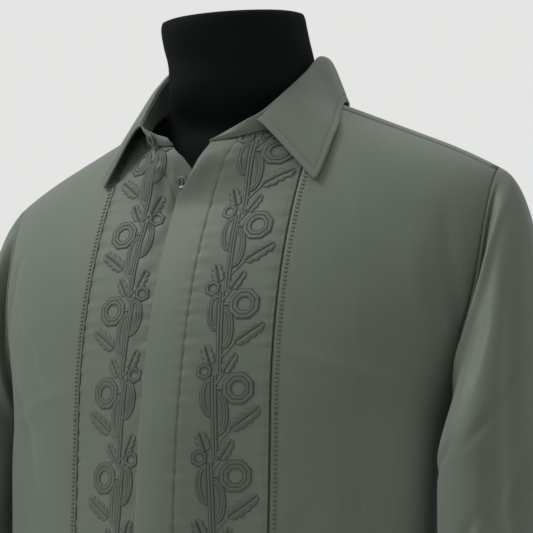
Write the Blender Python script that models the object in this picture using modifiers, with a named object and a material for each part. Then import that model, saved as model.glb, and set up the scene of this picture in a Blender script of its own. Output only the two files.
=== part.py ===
"""A long-sleeved embroidered shirt on a limbless dress form.

The wearer faces -Y and the wearer's left is +X. The origin is on the floor, under the form.
Tables are in millimetres, heights in them are above the floor, and the scene is in metres.
The body of the shirt is one surface: an angle goes round it, from the centre front (0) past
the side seam (90) to the centre back (180), and a level goes up it. Below the armholes a level
is minus the drop in metres. Above them it runs from 0 to 1, where the shoulder ridge is.
Every panel is a patch of that surface, and what lies on a panel is made from its points.
"""

import math
from collections import namedtuple

import bmesh
import bpy
from mathutils import Vector

MM = 0.001
UP = Vector((0, 0, 1))

# Cloth
CLOTH = 1.2 * MM
COLLAR_CLOTH = 1.5 * MM
SEAM_GAP = 0.3 * MM
LAYER_GAP = 0.4 * MM

# Heights above the floor
NECK_POINT = 800 * MM
ARMHOLE_BASE = 538 * MM
HEM = 40 * MM
CUFF_TOP = 168 * MM
CUFF_BOTTOM = 100 * MM
BICEP = 500 * MM
SLEEVE_GAP = 0.5 * MM

# The body's horizontal section is a superellipse, and so is its rise to the shoulder ridge
FRONT_SQUARENESS = 2.1
BACK_SQUARENESS = 2.6
FRONT_ARCH = 1.75
BACK_ARCH = 2.8
SHOULDER_SLOPE = 0.43
SHOULDER_RISE = 6.2 * MM
SHOULDER_START = 74 * MM
SHOULDER_SOFT = 5 * MM
SHOULDER_ROUND_FROM = 175 * MM
SHOULDER_ROUND = 1.5

# Fronts
PLACKET = 34 * MM
LAP = PLACKET / 2
PANEL_EDGE = 88 * MM
RIDGE_WIDTH = 42 * MM
LEFT_CORNER = 9 * MM
RIGHT_CORNER = -26 * MM
NECK_DROP_LEVEL = 0.833
SHOULDER_SEAM_LEVEL = 0.983
NECK_HALF_WIDTH = 77 * MM
NECK_BACK = 47 * MM
NECK_SIDE = -9 * MM
YOKE_BACK_LEVEL = 0.629
FLARE = 20 * MM
FLARE_FROM = 705 * MM
FLARE_OVER = 56 * MM
YOKE_HALF_WIDTH = 228 * MM
YOKE_SEAM_GAP = 1.4 * MM
UNDERLAP = 4.4 * MM
UNDERLAP_AT_V = 6.6 * MM

# Buttons
FRONT_BUTTON = 5.6 * MM
FRONT_BUTTON_X = -14 * MM
# Its height as a share of the way between the two chest levels round it
FRONT_BUTTON_RISE = 0.72
STAND_BUTTON = 5.0 * MM
CUFF_BUTTON = 5.0 * MM
BUTTON_THICK = 2.4 * MM
BUTTON_SIDES = 20
# Half outline of a button from its back to its dish: shares of the radius and of the thickness
BUTTON_PROFILE = [(0, 0), (0.72, 0), (1, 0.4), (0.96, 0.85), (0.84, 1), (0.66, 0.72), (0, 0.66)]
BUTTON_GAP = 0.9 * MM
CUFF_LAP = 26
CUFF_START = 300
CUFF_STEPS = 26

CLOTH_COLOUR = (0.133, 0.168, 0.141)
BUTTON_COLOUR = (0.075, 0.095, 0.082)
FORM_COLOUR = (0.006, 0.008, 0.008)

Section = namedtuple("Section", "level half_width front back")
BODY = [
    Section(-0.498, 200, 134, 128),
    Section(-0.350, 198, 132, 126),
    Section(-0.200, 199, 130, 122),
    Section(-0.090, 200, 128, 118),
    Section(0.000, 203, 127, 116),
    Section(0.060, 205.5, 127, 116),
    Section(0.200, 214, 127, 116),
    Section(0.390, 227.5, 127, 116),
    Section(0.630, 234, 127, 116),
    Section(1.000, 236, 127, 116),
]

# How far the buttoned edge stands proud of the chest, by height
Ridge = namedtuple("Ridge", "height depth")
PLACKET_RIDGE = [
    Ridge(40, 9),
    Ridge(300, 13),
    Ridge(450, 14),
    Ridge(517, 12),
    Ridge(557, 8),
    Ridge(655, 4),
    Ridge(710, 1),
    Ridge(810, 0),
]

# The centre-front edges leave their lap and open into the V at the neck
Edge = namedtuple("Edge", "height left right")
FRONT_EDGE = [
    Edge(40, -17, 17),
    Edge(690, -17, 17),
    Edge(715, -15.5, 11),
    Edge(724, -11, 4),
    Edge(737, -4, -4),
    Edge(751, 3, -14),
    Edge(763, 9, -26),
    Edge(810, 9, -26),
]

# Largest folds: angle round the body, half width in degrees, heights, and depth at each end
Fold = namedtuple("Fold", "side around spread top bottom depth_top depth_bottom lean")
FOLDS = [
    Fold(0, 64, 10, 640, 40, 11, 5, 0),
    Fold(0, 90, 15, 610, 40, -22, -9, 0),
    Fold(1, 38, 7, 330, 40, -1, -6, 5),
    Fold(-1, 42, 7, 300, 40, -1, -7, -5),
    Fold(1, 118, 9, 520, 40, -4, -8, 4),
    Fold(-1, 121, 9, 500, 40, -4, -9, -3),
    Fold(1, 146, 10, 560, 40, 3, 6, -4),
    Fold(-1, 143, 10, 570, 40, 3, 6, 5),
    Fold(1, 165, 8, 420, 40, -2, -7, 3),
    Fold(-1, 169, 8, 400, 40, -2, -6, -3),
]

# Sleeve rings below the bicep: centre and half sizes, mirrored for the wearer's right
Ring = namedtuple("Ring", "height across forward half_x half_y")
SLEEVE = [
    Ring(500, 232, -13, 36, 75),
    Ring(420, 234, -14, 37, 76),
    Ring(340, 235, -18, 37, 74),
    Ring(260, 235, -22, 36, 71),
    Ring(205, 234, -26, 35, 67),
    Ring(183, 233, -27, 33, 59),
    Ring(168.3, 232, -28, 30, 46),
]
CUFF = [
    Ring(168, 232, -28, 30, 46),
    Ring(100, 231, -30, 31, 47),
]

# How the sleeve leaves the armhole: angle from the shoulder point by the front, pull and direction
Pull = namedtuple("Pull", "angle out forward down length end_length")
SLEEVE_HEAD = [
    Pull(0, 0.88, 0.00, 0.47, 125, 130),
    Pull(90, 0.60, 0.45, 0.66, 88, 120),
    Pull(180, 0.30, 0.00, 0.95, 20, 22),
    Pull(270, 0.60, -0.45, 0.66, 88, 120),
    Pull(360, 0.88, 0.00, 0.47, 125, 130),
]

# Soft folds of the sleeve: angle from the outer side by the front, and how they run down
SleeveFold = namedtuple("SleeveFold", "angle spread top bottom depth lean")
SLEEVE_FOLDS = [
    SleeveFold(42, 11, 690, 330, -3.5, -14),
    SleeveFold(68, 9, 520, 210, 3.0, 10),
    SleeveFold(20, 12, 560, 250, -3.0, 22),
    SleeveFold(150, 16, 470, 200, -4.0, 0),
    SleeveFold(318, 12, 680, 300, -4.0, 12),
    SleeveFold(290, 9, 420, 175, 3.5, -10),
    SleeveFold(250, 9, 300, 170, -5.0, 0),
    SleeveFold(228, 8, 280, 170, -4.5, 0),
]

# The collar from a front end to the centre back: the roll line and the outer edge of the fall
Collar = namedtuple("Collar", "share roll_x roll_y roll_z edge_x edge_y edge_z")
COLLAR_LEFT = [
    Collar(0.00, 12, -81, 766, 60, -84, 724),
    Collar(0.17, 38, -76, 779.5, 103, -76, 725),
    Collar(0.26, 49, -69, 787, 106.3, -63, 744.5),
    Collar(0.36, 60, -50, 804, 106, -46, 768),
    Collar(0.46, 68, -28, 824, 98.5, -24, 789),
    Collar(0.58, 70.5, -8, 840, 90.5, -3, 802.5),
    Collar(0.70, 64, 18, 842, 82, 22, 806),
    Collar(0.84, 42, 42, 839, 58, 54, 802),
    Collar(1.00, 0, 52, 837, 0, 70, 797),
]
COLLAR_RIGHT = [
    Collar(0.00, -30, -81, 768, -76, -84, 728),
    Collar(0.17, -59, -77, 780.5, -98.2, -72.1, 733.6),
    Collar(0.26, -63, -66, 791, -105.5, -60.9, 749),
    Collar(0.36, -67, -50, 805, -104.5, -45.4, 768.4),
    Collar(0.46, -71, -28, 825, -99, -24, 789),
    Collar(0.58, -70.5, -8, 840, -90.5, -3, 802.5),
    Collar(0.70, -64, 18, 842, -82, 22, 806),
    Collar(0.84, -42, 42, 839, -58, 54, 802),
    Collar(1.00, 0, 52, 837, 0, 70, 797),
]
FALL_START = 0.17
# The stand's lower edge clears the neck seam, and the fall's inner turn clears the roll line
STAND_LIFT = 1.1 * MM
FALL_LIFT = 2.6 * MM
FALL_STEPS = 13
ROLL_OUT = 9 * MM
ROLL_UP = 4 * MM

# The dress form's horizontal sections, up to its tilted flat top
FormRing = namedtuple("FormRing", "height half_width front back squareness forward")
FORM = [
    FormRing(0, 146, 96, 92, 2.3, 0),
    FormRing(6, 152, 102, 98, 2.3, 0),
    FormRing(90, 162, 110, 106, 2.3, 0),
    FormRing(180, 156, 104, 100, 2.3, 0),
    FormRing(280, 146, 98, 93, 2.3, 0),
    FormRing(400, 154, 106, 98, 2.3, 0),
    FormRing(480, 164, 112, 103, 2.3, 0),
    FormRing(540, 170, 110, 106, 2.2, 0),
    FormRing(600, 186, 100, 106, 2.1, 0),
    FormRing(650, 203, 86, 101, 2.0, 0),
    FormRing(690, 213, 71, 95, 1.9, 0),
    FormRing(716, 215, 62, 88, 1.85, 0),
    FormRing(730, 213, 57, 82, 1.8, 0),
    FormRing(741, 208, 54, 77, 1.75, 0),
    FormRing(752, 194, 51, 72, 1.7, 0),
    FormRing(766, 162.5, 50, 66, 1.7, 0),
    FormRing(780, 129, 44, 58, 1.6, 2),
    FormRing(790, 94, 46, 50, 1.55, 5),
    FormRing(800, 70, 52, 50, 1.9, 8),
    FormRing(815, 64, 60, 53, 2.0, 11),
    FormRing(838, 61.5, 61.5, 60, 2.0, 15),
    FormRing(860, 60.5, 61, 61, 2.0, 25),
    FormRing(874, 60, 60.5, 60.5, 2.0, 30),
    FormRing(879.5, 58.5, 59, 59, 2.0, 31),
    FormRing(881, 54, 54.5, 54.5, 2.0, 31.5),
]
FORM_TILT = 0.16
FORM_TILT_FROM = 820 * MM
FORM_SIDES = 32

# Rows of points: heights below the armholes, and above them the levels that all pieces share
LOWER_LEVELS = (HEM - ARMHOLE_BASE, -0.42, -0.34, -0.26, -0.19, -0.13, -0.08, -0.04, 0.0)
ARMHOLE_STEP = 15
ARMHOLE_LEVELS = [(1 + math.cos(math.radians(a))) / 2 for a in range(180, -1, -ARMHOLE_STEP)]
CHEST_LEVELS = tuple(ARMHOLE_LEVELS[1:9]) + (0.792,)
NECK_LEVELS = (NECK_DROP_LEVEL, 0.858, 0.893, 0.933, 0.965, 0.979, SHOULDER_SEAM_LEVEL)
PANEL_STEPS = 5
LAP_STEPS = 3


def clear_scene():
    for obj in list(bpy.data.objects):
        bpy.data.objects.remove(obj, do_unlink=True)


def make_material(name, colour, roughness):
    material = bpy.data.materials.new(name)
    material.use_nodes = True
    shader = material.node_tree.nodes["Principled BSDF"]
    shader.inputs["Base Color"].default_value = (*colour, 1)
    shader.inputs["Roughness"].default_value = roughness
    shader.inputs["Metallic"].default_value = 0.0
    return material


def ease(value):
    """A smooth step from 0 to 1."""
    value = min(max(value, 0.0), 1.0)
    return value * value * (3 - 2 * value)


def read_table(rows, key):
    """The row at a key between the table's rows, on a curve that doesn't overshoot them."""
    keys = [row[0] for row in rows]
    key = min(max(key, keys[0]), keys[-1])
    i = max(j for j in range(len(keys) - 1) if keys[j] <= key)
    step = keys[i + 1] - keys[i]
    t = (key - keys[i]) / step
    values = [key]
    for column in range(1, len(rows[0])):
        a, b = rows[i][column], rows[i + 1][column]
        slope_a = table_slope(rows, column, i) * step
        slope_b = table_slope(rows, column, i + 1) * step
        values.append(
            (2 * t**3 - 3 * t**2 + 1) * a
            + (t**3 - 2 * t**2 + t) * slope_a
            + (3 * t**2 - 2 * t**3) * b
            + (t**3 - t**2) * slope_b
        )
    return type(rows[0])(*values)


def table_slope(rows, column, i):
    """The slope at a row: the harmonic mean of its neighbours', or flat at a peak."""
    chords = [
        (rows[j + 1][column] - rows[j][column]) / (rows[j + 1][0] - rows[j][0])
        for j in (i - 1, i)
        if 0 <= j < len(rows) - 1
    ]
    if len(chords) == 1:
        return chords[0]
    if chords[0] * chords[1] <= 0:
        return 0.0
    return 2 * chords[0] * chords[1] / (chords[0] + chords[1])


def shoulder_ridge(x):
    """Height of the shoulder's ridge above the floor."""
    past = (abs(x) - SHOULDER_START) / SHOULDER_SOFT
    run = SHOULDER_SOFT * math.log1p(math.exp(min(past, 60)))
    rounding = SHOULDER_ROUND * max(abs(x) - SHOULDER_ROUND_FROM, 0.0) ** 2
    return NECK_POINT + SHOULDER_RISE - SHOULDER_SLOPE * run - rounding


def is_back(around):
    return around > 90


def arch_of(around):
    return BACK_ARCH if is_back(around) else FRONT_ARCH


def squareness_of(around):
    return BACK_SQUARENESS if is_back(around) else FRONT_SQUARENESS


def fold_depth(side, around, height):
    """How far the folds push the cloth out at this place."""
    total = 0.0
    for fold in FOLDS:
        if fold.side not in (0, side):
            continue
        down = (fold.top * MM - height) / ((fold.top - fold.bottom) * MM)
        if down <= 0:
            continue
        depth = fold.depth_top + (fold.depth_bottom - fold.depth_top) * ease(down)
        depth *= ease(down / 0.25)
        centre = fold.around + fold.lean * down
        total += depth * MM * math.exp(-(((around - centre) / fold.spread) ** 2))
    return total


def body_point(side, around, level):
    """A point of the shirt's body. side is 1 on the wearer's left and -1 on the right."""
    row = read_table(BODY, level)
    power = 2 / squareness_of(around)
    angle = math.radians(around)
    x = side * row.half_width * MM * abs(math.sin(angle)) ** power
    depth = (row.back if is_back(around) else row.front) * MM * abs(math.cos(angle)) ** power
    if level <= 0:
        height = ARMHOLE_BASE + level
        height_share = 1.0
    else:
        arch = arch_of(around)
        rise = min(level, 1.0)
        height = ARMHOLE_BASE + (shoulder_ridge(x) - ARMHOLE_BASE) * rise
        height_share = max(1 - rise**arch, 0.0) ** (1 / arch)
    y = depth * height_share * (1 if is_back(around) else -1)
    out = fold_depth(side, around, height)
    x += side * out * math.sin(angle)
    y -= out * math.cos(angle)
    if not is_back(around):
        ridge = read_table(PLACKET_RIDGE, height / MM).depth * MM
        y -= ridge * math.exp(-((x / RIDGE_WIDTH) ** 2))
        lift = ease((height - FLARE_FROM) / FLARE_OVER)
        y -= FLARE * lift * (1 - ease((abs(x) - 22 * MM) / (66 * MM)))
    return Vector((x, y, height))


def body_normal(side, around, level):
    """The surface's outward direction, from two short steps along it."""
    turn = 0.4 if around < 179 else -0.4
    lift = 0.004 if level < 0.99 else -0.004
    here = body_point(side, around, level)
    along = (body_point(side, around + turn, level) - here) * turn
    up = (body_point(side, around, level + lift) - here) * lift
    normal = along.cross(up).normalized() * side
    away = Vector((side * math.sin(math.radians(around)), -math.cos(math.radians(around)), 0.4))
    return normal if normal.dot(away) > 0 else -normal


def body_offset(side, around, level, out):
    return body_point(side, around, level) + body_normal(side, around, level) * out


def around_at(x, level, back=False):
    """The angle round the body where the surface is this far from the middle."""
    row = read_table(BODY, level)
    squareness = BACK_SQUARENESS if back else FRONT_SQUARENESS
    share = min(abs(x) / (row.half_width * MM), 1.0)
    angle = math.degrees(math.asin(share ** (squareness / 2)))
    return 180 - angle if back else angle


def level_of_depth(share, back):
    """The level where the body is this share of its full depth, near the shoulder ridge."""
    arch = BACK_ARCH if back else FRONT_ARCH
    return max(1 - abs(share) ** arch, 0.0) ** (1 / arch)


def share_of_level(level, back):
    """The share of its full depth that the body has at a level."""
    arch = BACK_ARCH if back else FRONT_ARCH
    return max(1 - level**arch, 0.0) ** (1 / arch)


def armhole_around(level, back):
    """The angle of the armhole seam at a level above the armhole's base."""
    if level <= 0:
        return 90.0
    if back:
        angle = 62.5 + 27.5 * max(0.0, 1 - level / 0.35) ** 1.5 + 10.5 * level**3
        return 180 - angle
    return 71.5 + 18.5 * max(0.0, 1 - level / 0.33) ** 1.7 + 2.5 * level**4


def side_gap(level, back):
    """Half a seam's gap at the side seam, as an angle."""
    row = read_table(BODY, level)
    depth = (row.back if back else row.front) * MM
    squareness = BACK_SQUARENESS if back else FRONT_SQUARENESS
    return math.degrees((SEAM_GAP / 2 / depth) ** (squareness / 2))


def armhole_gap(level):
    """Half a seam's gap beside the armhole, as an angle."""
    return math.degrees(SEAM_GAP / 2 / (read_table(BODY, level).half_width * MM)) * 2.5


def add_object(name, mesh, material):
    obj = bpy.data.objects.new(name, mesh)
    obj.data.materials.append(material)
    collection = bpy.data.collections.get("shirt_on_dress_form")
    if collection is None:
        collection = bpy.data.collections.new("shirt_on_dress_form")
        bpy.context.scene.collection.children.link(collection)
    collection.objects.link(obj)
    return obj


def loft(name, rows, closed=False, caps=False):
    """A mesh through rows of points, each as long as the others."""
    bm = bmesh.new()
    grid = [[bm.verts.new(point) for point in row] for row in rows]
    columns = len(rows[0])
    for lower, upper in zip(grid, grid[1:]):
        for j in range(columns if closed else columns - 1):
            k = (j + 1) % columns
            bm.faces.new((lower[j], lower[k], upper[k], upper[j]))
    if caps:
        bm.faces.new(list(reversed(grid[0])))
        bm.faces.new(grid[-1])
    mesh = bpy.data.meshes.new(name)
    bm.to_mesh(mesh)
    bm.free()
    mesh.shade_smooth()
    return mesh


def face_out(mesh, centre):
    """Turns the mesh so that its faces point away from a point."""
    total = sum((p.center - centre).dot(p.normal) * p.area for p in mesh.polygons)
    if total < 0:
        mesh.flip_normals()


def sheet(name, rows, material, thick, centre, closed=False):
    """Cloth: an open surface given its thickness inwards."""
    mesh = loft(name, rows, closed)
    face_out(mesh, centre)
    obj = add_object(name, mesh, material)
    shell = obj.modifiers.new("Cloth", "SOLIDIFY")
    shell.thickness = thick
    shell.offset = -1
    shell.use_rim = True
    return obj


def neck_edge(side, level):
    """How far across the neck seam is, at a level from its front end to the shoulder seam."""
    corner = LEFT_CORNER if side > 0 else RIGHT_CORNER
    share = (SHOULDER_SEAM_LEVEL - level) / (SHOULDER_SEAM_LEVEL - NECK_DROP_LEVEL)
    return corner + (side * NECK_HALF_WIDTH - corner) * math.sqrt(max(1 - share * share, 0.0))


def buttoned_edge(side, level):
    """How far across the buttoned edge is, at a level below the neck."""
    row = read_table(FRONT_EDGE, body_point(side, 0, level).z / MM)
    return (row.left if side > 0 else row.right) * MM


def panel_rows(side, drop):
    """The embroidered panel of a front, from its buttoned edge to its outer seam.

    drop(x, height) says how far the panel lies in from the body's surface.
    """
    seam = side * (PANEL_EDGE - SEAM_GAP / 2)
    rows = []
    for level in LOWER_LEVELS + CHEST_LEVELS + NECK_LEVELS:
        at_neck = level >= NECK_DROP_LEVEL
        inner = neck_edge(side, level) if at_neck else buttoned_edge(side, level)
        lap = side * PLACKET * min(1.0, abs(seam - inner) / (PANEL_EDGE + LAP))
        places = [inner + lap * j / LAP_STEPS for j in range(LAP_STEPS + 1)]
        rest = seam - places[-1]
        places += [places[-1] + rest * j / PANEL_STEPS for j in range(1, PANEL_STEPS + 1)]
        row = []
        for x in places:
            here = 1 if x >= 0 else -1
            around = around_at(x, level)
            height = body_point(here, around, level).z
            row.append(body_offset(here, around, level, -drop(x, height)))
        rows.append(row)
    return rows


def no_drop(x, height):
    return 0.0


def underlap_drop(x, height):
    """The right front lies under the left where they lap."""
    depth = UNDERLAP + (UNDERLAP_AT_V - UNDERLAP) * ease((height - 650 * MM) / (60 * MM))
    depth *= 1 - 0.75 * ease((height - 738 * MM) / (24 * MM))
    return depth * (1 - ease((-x - LAP) / (24 * MM)))


def lapped_point(x, level):
    """A point of the right front's lap at a place across and a level."""
    around = around_at(x, level)
    height = body_point(-1, around, level).z
    return body_offset(-1, around, level, -underlap_drop(x, height))


def fly_rows():
    """The inner layer of the buttoned edge, behind the left panel's own points."""
    rows = []
    in_by = CLOTH + LAYER_GAP
    for row in panel_rows(1, lambda x, height: in_by)[: len(LOWER_LEVELS + CHEST_LEVELS) + 1]:
        rows.append(row[: LAP_STEPS + 1])
    return rows


def armhole_edge(side, level, back):
    """A panel's edge at the armhole, straight between the places where the sleeve has a point."""
    above = min(value for value in ARMHOLE_LEVELS if value >= level - 1e-6)
    below = max(value for value in ARMHOLE_LEVELS if value <= level + 1e-6)
    ends = []
    for value in (below, above):
        gap = armhole_gap(value) * (1 if back else -1)
        ends.append(body_point(side, armhole_around(value, back) + gap, value))
    share = (level - below) / (above - below) if above > below else 0.0
    return ends[0].lerp(ends[1], share)


def side_front_rows(side):
    """The front from the panel's seam to the side seam and armhole."""
    rows = []
    columns = 9
    for level in LOWER_LEVELS + CHEST_LEVELS + NECK_LEVELS:
        start = around_at(PANEL_EDGE + SEAM_GAP / 2, level)
        end = armhole_around(level, False)
        end -= side_gap(level, False) if level <= 0 else armhole_gap(level)
        row = []
        for j in range(columns):
            around = start + (end - start) * j / (columns - 1)
            row.append(body_point(side, around, level))
        if level > 0:
            row[-1] = armhole_edge(side, level, False)
        rows.append(row)
    return rows


def back_rows():
    """The back below the yoke, from one side seam to the other."""
    rows = []
    half = 13
    for level in LOWER_LEVELS + CHEST_LEVELS[:6] + (YOKE_BACK_LEVEL - 0.0015,):
        edge = armhole_around(level, True)
        edge += side_gap(level, True) if level <= 0 else armhole_gap(level)
        row = []
        for j in range(-half, half + 1):
            share = abs(j) / half
            around = 180 - (180 - edge) * share**0.92
            row.append(body_point(1 if j >= 0 else -1, around, level))
        rows.append(row)
    return rows


def depth_share(x, y):
    """The share of the full depth at a place on the shoulders, seen from above."""
    back = y > 0
    row = BODY[-1]
    power = BACK_SQUARENESS if back else FRONT_SQUARENESS
    across = max(1 - (abs(x) / (row.half_width * MM)) ** power, 0.0) ** (1 / power)
    return y / ((row.back if back else row.front) * MM * across)


def yoke_point(x, share):
    """A point of the shoulders from its place across and its share of the depth."""
    back = share > 0
    level = level_of_depth(share, back)
    around = around_at(x, level, back)
    return body_point(1 if x >= 0 else -1, around, level)


def yoke_rows():
    """The yoke, from the front shoulder seams and the back of the neck to the back seam."""
    gap = YOKE_SEAM_GAP / (BODY[-1].front * MM)
    shares = [gap - share_of_level(SHOULDER_SEAM_LEVEL, False), 0.0]
    shares += [share_of_level(level, True) for level in ARMHOLE_LEVELS[-2:7:-1]]
    shares.append(share_of_level(YOKE_BACK_LEVEL, True))
    shares.insert(1, shares[0] + 0.025)
    shoulder_steps, neck_steps = 5, 6
    starts = []
    for j in range(shoulder_steps + 1):
        share = j / shoulder_steps
        x = 1 - (1 - NECK_HALF_WIDTH / YOKE_HALF_WIDTH) * share
        starts.append((x, shares[0], 1 - 0.5 * share))
    for j in range(1, neck_steps + 1):
        angle = math.radians(90 * j / neck_steps)
        x = NECK_HALF_WIDTH * math.cos(angle)
        y = NECK_SIDE + (NECK_BACK - NECK_SIDE) * math.sin(angle)
        starts.append((x / YOKE_HALF_WIDTH, depth_share(x, y), 0.5 * (1 - j / neck_steps)))
    rows = []
    for armhole_share in shares:
        down = (armhole_share - shares[0]) / (shares[-1] - shares[0])
        half = []
        for across_start, share_start, across_end in starts:
            share = share_start + (shares[-1] - share_start) * down
            back = share > 0
            level = level_of_depth(share, back)
            edge = armhole_around(level, back)
            edge += armhole_gap(level) if back else -armhole_gap(level)
            reach = body_point(1, edge, level).x
            across = across_start + (across_end - across_start) * ease(down) ** 0.8
            half.append(yoke_point(reach * across, share))
        mirrored = [Vector((-p.x, p.y, p.z)) for p in reversed(half[:-1])]
        rows.append(half + mirrored)
    return rows


def armhole_point(side, angle):
    """A point of the armhole seam: 0 is the shoulder point, 90 the front, 180 the underarm."""
    level = (1 + math.cos(math.radians(angle))) / 2
    back = angle > 180
    around = armhole_around(level, back)
    return body_point(side, around, level)


def ring_point(side, ring, angle, out=0.0):
    """A point of a sleeve's ring: 0 is the outer side, 90 the front."""
    turn = math.radians(angle)
    power = 2 / 2.3
    x = abs(math.cos(turn)) ** power * math.copysign(1, math.cos(turn))
    y = abs(math.sin(turn)) ** power * math.copysign(1, math.sin(turn))
    x = ring.across * MM + x * (ring.half_x * MM + out)
    y = ring.forward * MM - y * (ring.half_y * MM + out)
    return Vector((side * x, y, ring.height * MM))


def sleeve_fold(side, angle, height):
    total = 0.0
    for fold in SLEEVE_FOLDS:
        down = (fold.top * MM - height) / ((fold.top - fold.bottom) * MM)
        if not 0 < down < 1:
            continue
        centre = fold.angle + fold.lean * down + (6 if side < 0 else 0)
        apart = (angle - centre + 180) % 360 - 180
        depth = fold.depth * MM * ease(down / 0.3) * ease((1 - down) / 0.25)
        total += depth * math.exp(-((apart / fold.spread) ** 2))
    return total


def sleeve_rows(side):
    """The sleeve, from the armhole over its head to the bicep and down to the cuff."""
    sides = 24
    angles = [360 * j / sides for j in range(sides)]
    bicep = read_table([row._replace(height=-row.height) for row in SLEEVE], -BICEP / MM)
    bicep = bicep._replace(height=-bicep.height)
    rows = []
    for step in range(7):
        t = step / 6
        row = []
        for angle in angles:
            pull = read_table(SLEEVE_HEAD, angle)
            start = armhole_point(side, angle)
            direction = Vector((side * pull.out, -pull.forward, -pull.down)).normalized()
            start = start + direction * SLEEVE_GAP
            end = ring_point(side, bicep, angle)
            point = (
                start * (2 * t**3 - 3 * t**2 + 1)
                + direction * (pull.length * MM * (t**3 - 2 * t**2 + t))
                + end * (3 * t**2 - 2 * t**3)
                - UP * (pull.end_length * MM * (t**3 - t**2))
            )
            turn = math.radians(angle)
            out = Vector((side * math.cos(turn), -math.sin(turn), 0))
            row.append(point + out * sleeve_fold(side, angle, point.z) * ease(t * 3))
        rows.append(row)
    for height in (455, 410, 365, 320, 275, 235, 205, 190, 178, 168.3):
        ring = read_table([row._replace(height=-row.height) for row in SLEEVE], -height)
        ring = ring._replace(height=height)
        rows.append(
            [ring_point(side, ring, a, sleeve_fold(side, a, height * MM)) for a in angles]
        )
    return rows


def cuff_point(side, height, step):
    """A point of the cuff's outer face. Its first stretch lies under its own end."""
    ring = read_table([row._replace(height=-row.height) for row in CUFF], -height)
    ring = ring._replace(height=height)
    turn = (360 + CUFF_LAP) * step / CUFF_STEPS
    under = 1 - ease((turn - CUFF_LAP) / 22)
    return ring_point(side, ring, CUFF_START + turn, -(CLOTH + 2 * LAYER_GAP) * under)


def cuff_rows(side):
    """The cuff: a band that laps over its own end on the back outer side."""
    heights = (CUFF_TOP / MM, 145, 122, CUFF_BOTTOM / MM)
    return [[cuff_point(side, h, j) for j in range(CUFF_STEPS + 1)] for h in heights]


def neck_point(side, share):
    """A point of the neck seam: 0 is the front end and 1 the centre back."""
    if share < 0.5:
        rise = math.cos(math.radians(180 * share))
        level = SHOULDER_SEAM_LEVEL - (SHOULDER_SEAM_LEVEL - NECK_DROP_LEVEL) * rise
        x = neck_edge(side, level)
        here = 1 if x >= 0 else -1
        return body_point(here, around_at(x, level), level)
    angle = math.radians(180 * (share - 0.5))
    x = side * NECK_HALF_WIDTH * math.cos(angle)
    y = NECK_SIDE + (NECK_BACK - NECK_SIDE) * math.sin(angle)
    return yoke_point(x, depth_share(x, y))


def collar_row(side, share):
    return read_table(COLLAR_LEFT if side > 0 else COLLAR_RIGHT, share)


def roll_point(side, share):
    row = collar_row(side, share)
    return Vector((row.roll_x, row.roll_y, row.roll_z)) * MM


def edge_point(side, share):
    row = collar_row(side, share)
    return Vector((row.edge_x, row.edge_y, row.edge_z)) * MM


def collar_shares(past_fall):
    """Places along the collar from the wearer's left end round the back to the right end."""
    half = [FALL_START + (1 - FALL_START) * j / FALL_STEPS for j in range(FALL_STEPS + 1)]
    if past_fall:
        half = [0.0, 0.045, 0.105] + half
    return [(1, share) for share in half] + [(-1, share) for share in reversed(half[:-1])]


def stand_point(side, share, up):
    """A point of the stand's outer face, from the neck seam (0) to the roll line (1)."""
    low = neck_point(side, share) + UP * STAND_LIFT
    high = roll_point(side, share)
    swell = Vector((low.x, low.y, 0)).normalized() * 1.5 * MM * math.sin(math.pi * up)
    return low.lerp(high, up) + swell


def stand_rows():
    """The collar's stand, from the neck seam up to the roll line."""
    places = collar_shares(True)
    return [[stand_point(side, share, i / 3) for side, share in places] for i in range(4)]


def fall_rows():
    """The collar's fall, turned over the roll line and down to its outer edge."""
    rows = []
    places = collar_shares(False)
    for i in range(8):
        t = i / 7
        row = []
        for side, share in places:
            roll = roll_point(side, share) + UP * FALL_LIFT
            edge = edge_point(side, share)
            out = edge - roll
            out.z = 0
            top = roll + out.normalized() * ROLL_OUT + UP * ROLL_UP
            row.append(roll * (1 - t) ** 2 + top * (2 * t * (1 - t)) + edge * t**2)
        rows.append(row)
    return rows


def add_form(material):
    """The dress form: one smooth closed body with a flat underside and a tilted flat top."""
    heights = [0, 6, 50, 110, 170, 230, 290, 350, 410, 470, 525, 575, 620, 660, 690, 712]
    heights += [728, 740, 752, 766, 780, 790, 800, 812, 828, 846, 862, 874, 879.5, 881]
    rows = []
    for height in heights:
        ring = read_table(FORM, height)
        power = 2 / ring.squareness
        row = []
        for j in range(FORM_SIDES):
            turn = 2 * math.pi * j / FORM_SIDES
            s, c = math.sin(turn), math.cos(turn)
            depth = ring.front if c > 0 else ring.back
            x = ring.half_width * MM * math.copysign(abs(s) ** power, s)
            y = -ring.forward * MM - depth * MM * math.copysign(abs(c) ** power, c)
            z = height * MM
            lean = ease((z - FORM_TILT_FROM) / (50 * MM))
            row.append(Vector((x, y, z + lean * FORM_TILT * y)))
        rows.append(row)
    mesh = loft("dress_form", rows, closed=True, caps=True)
    face_out(mesh, Vector((0, 0, 0.4)))
    return add_object("dress_form", mesh, material)


def add_button(name, radius, place, normal, material):
    """A turned button: a rounded rim round a shallow dish, its back on the cloth."""
    mesh = bpy.data.meshes.new(name)
    outline = [(radius * share, 0, BUTTON_THICK * lift) for share, lift in BUTTON_PROFILE]
    mesh.from_pydata(outline, [(j, j + 1) for j in range(len(outline) - 1)], [])
    obj = add_object(name, mesh, material)
    turned = obj.modifiers.new("Turned", "SCREW")
    turned.axis = "Z"
    turned.angle = 2 * math.pi
    turned.steps = BUTTON_SIDES
    turned.render_steps = BUTTON_SIDES
    turned.use_merge_vertices = True
    turned.merge_threshold = 0.00001
    turned.use_normal_flip = True
    obj.rotation_mode = "QUATERNION"
    obj.rotation_quaternion = normal.to_track_quat("Z", "Y")
    obj.location = place + normal * BUTTON_GAP
    return obj


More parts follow.
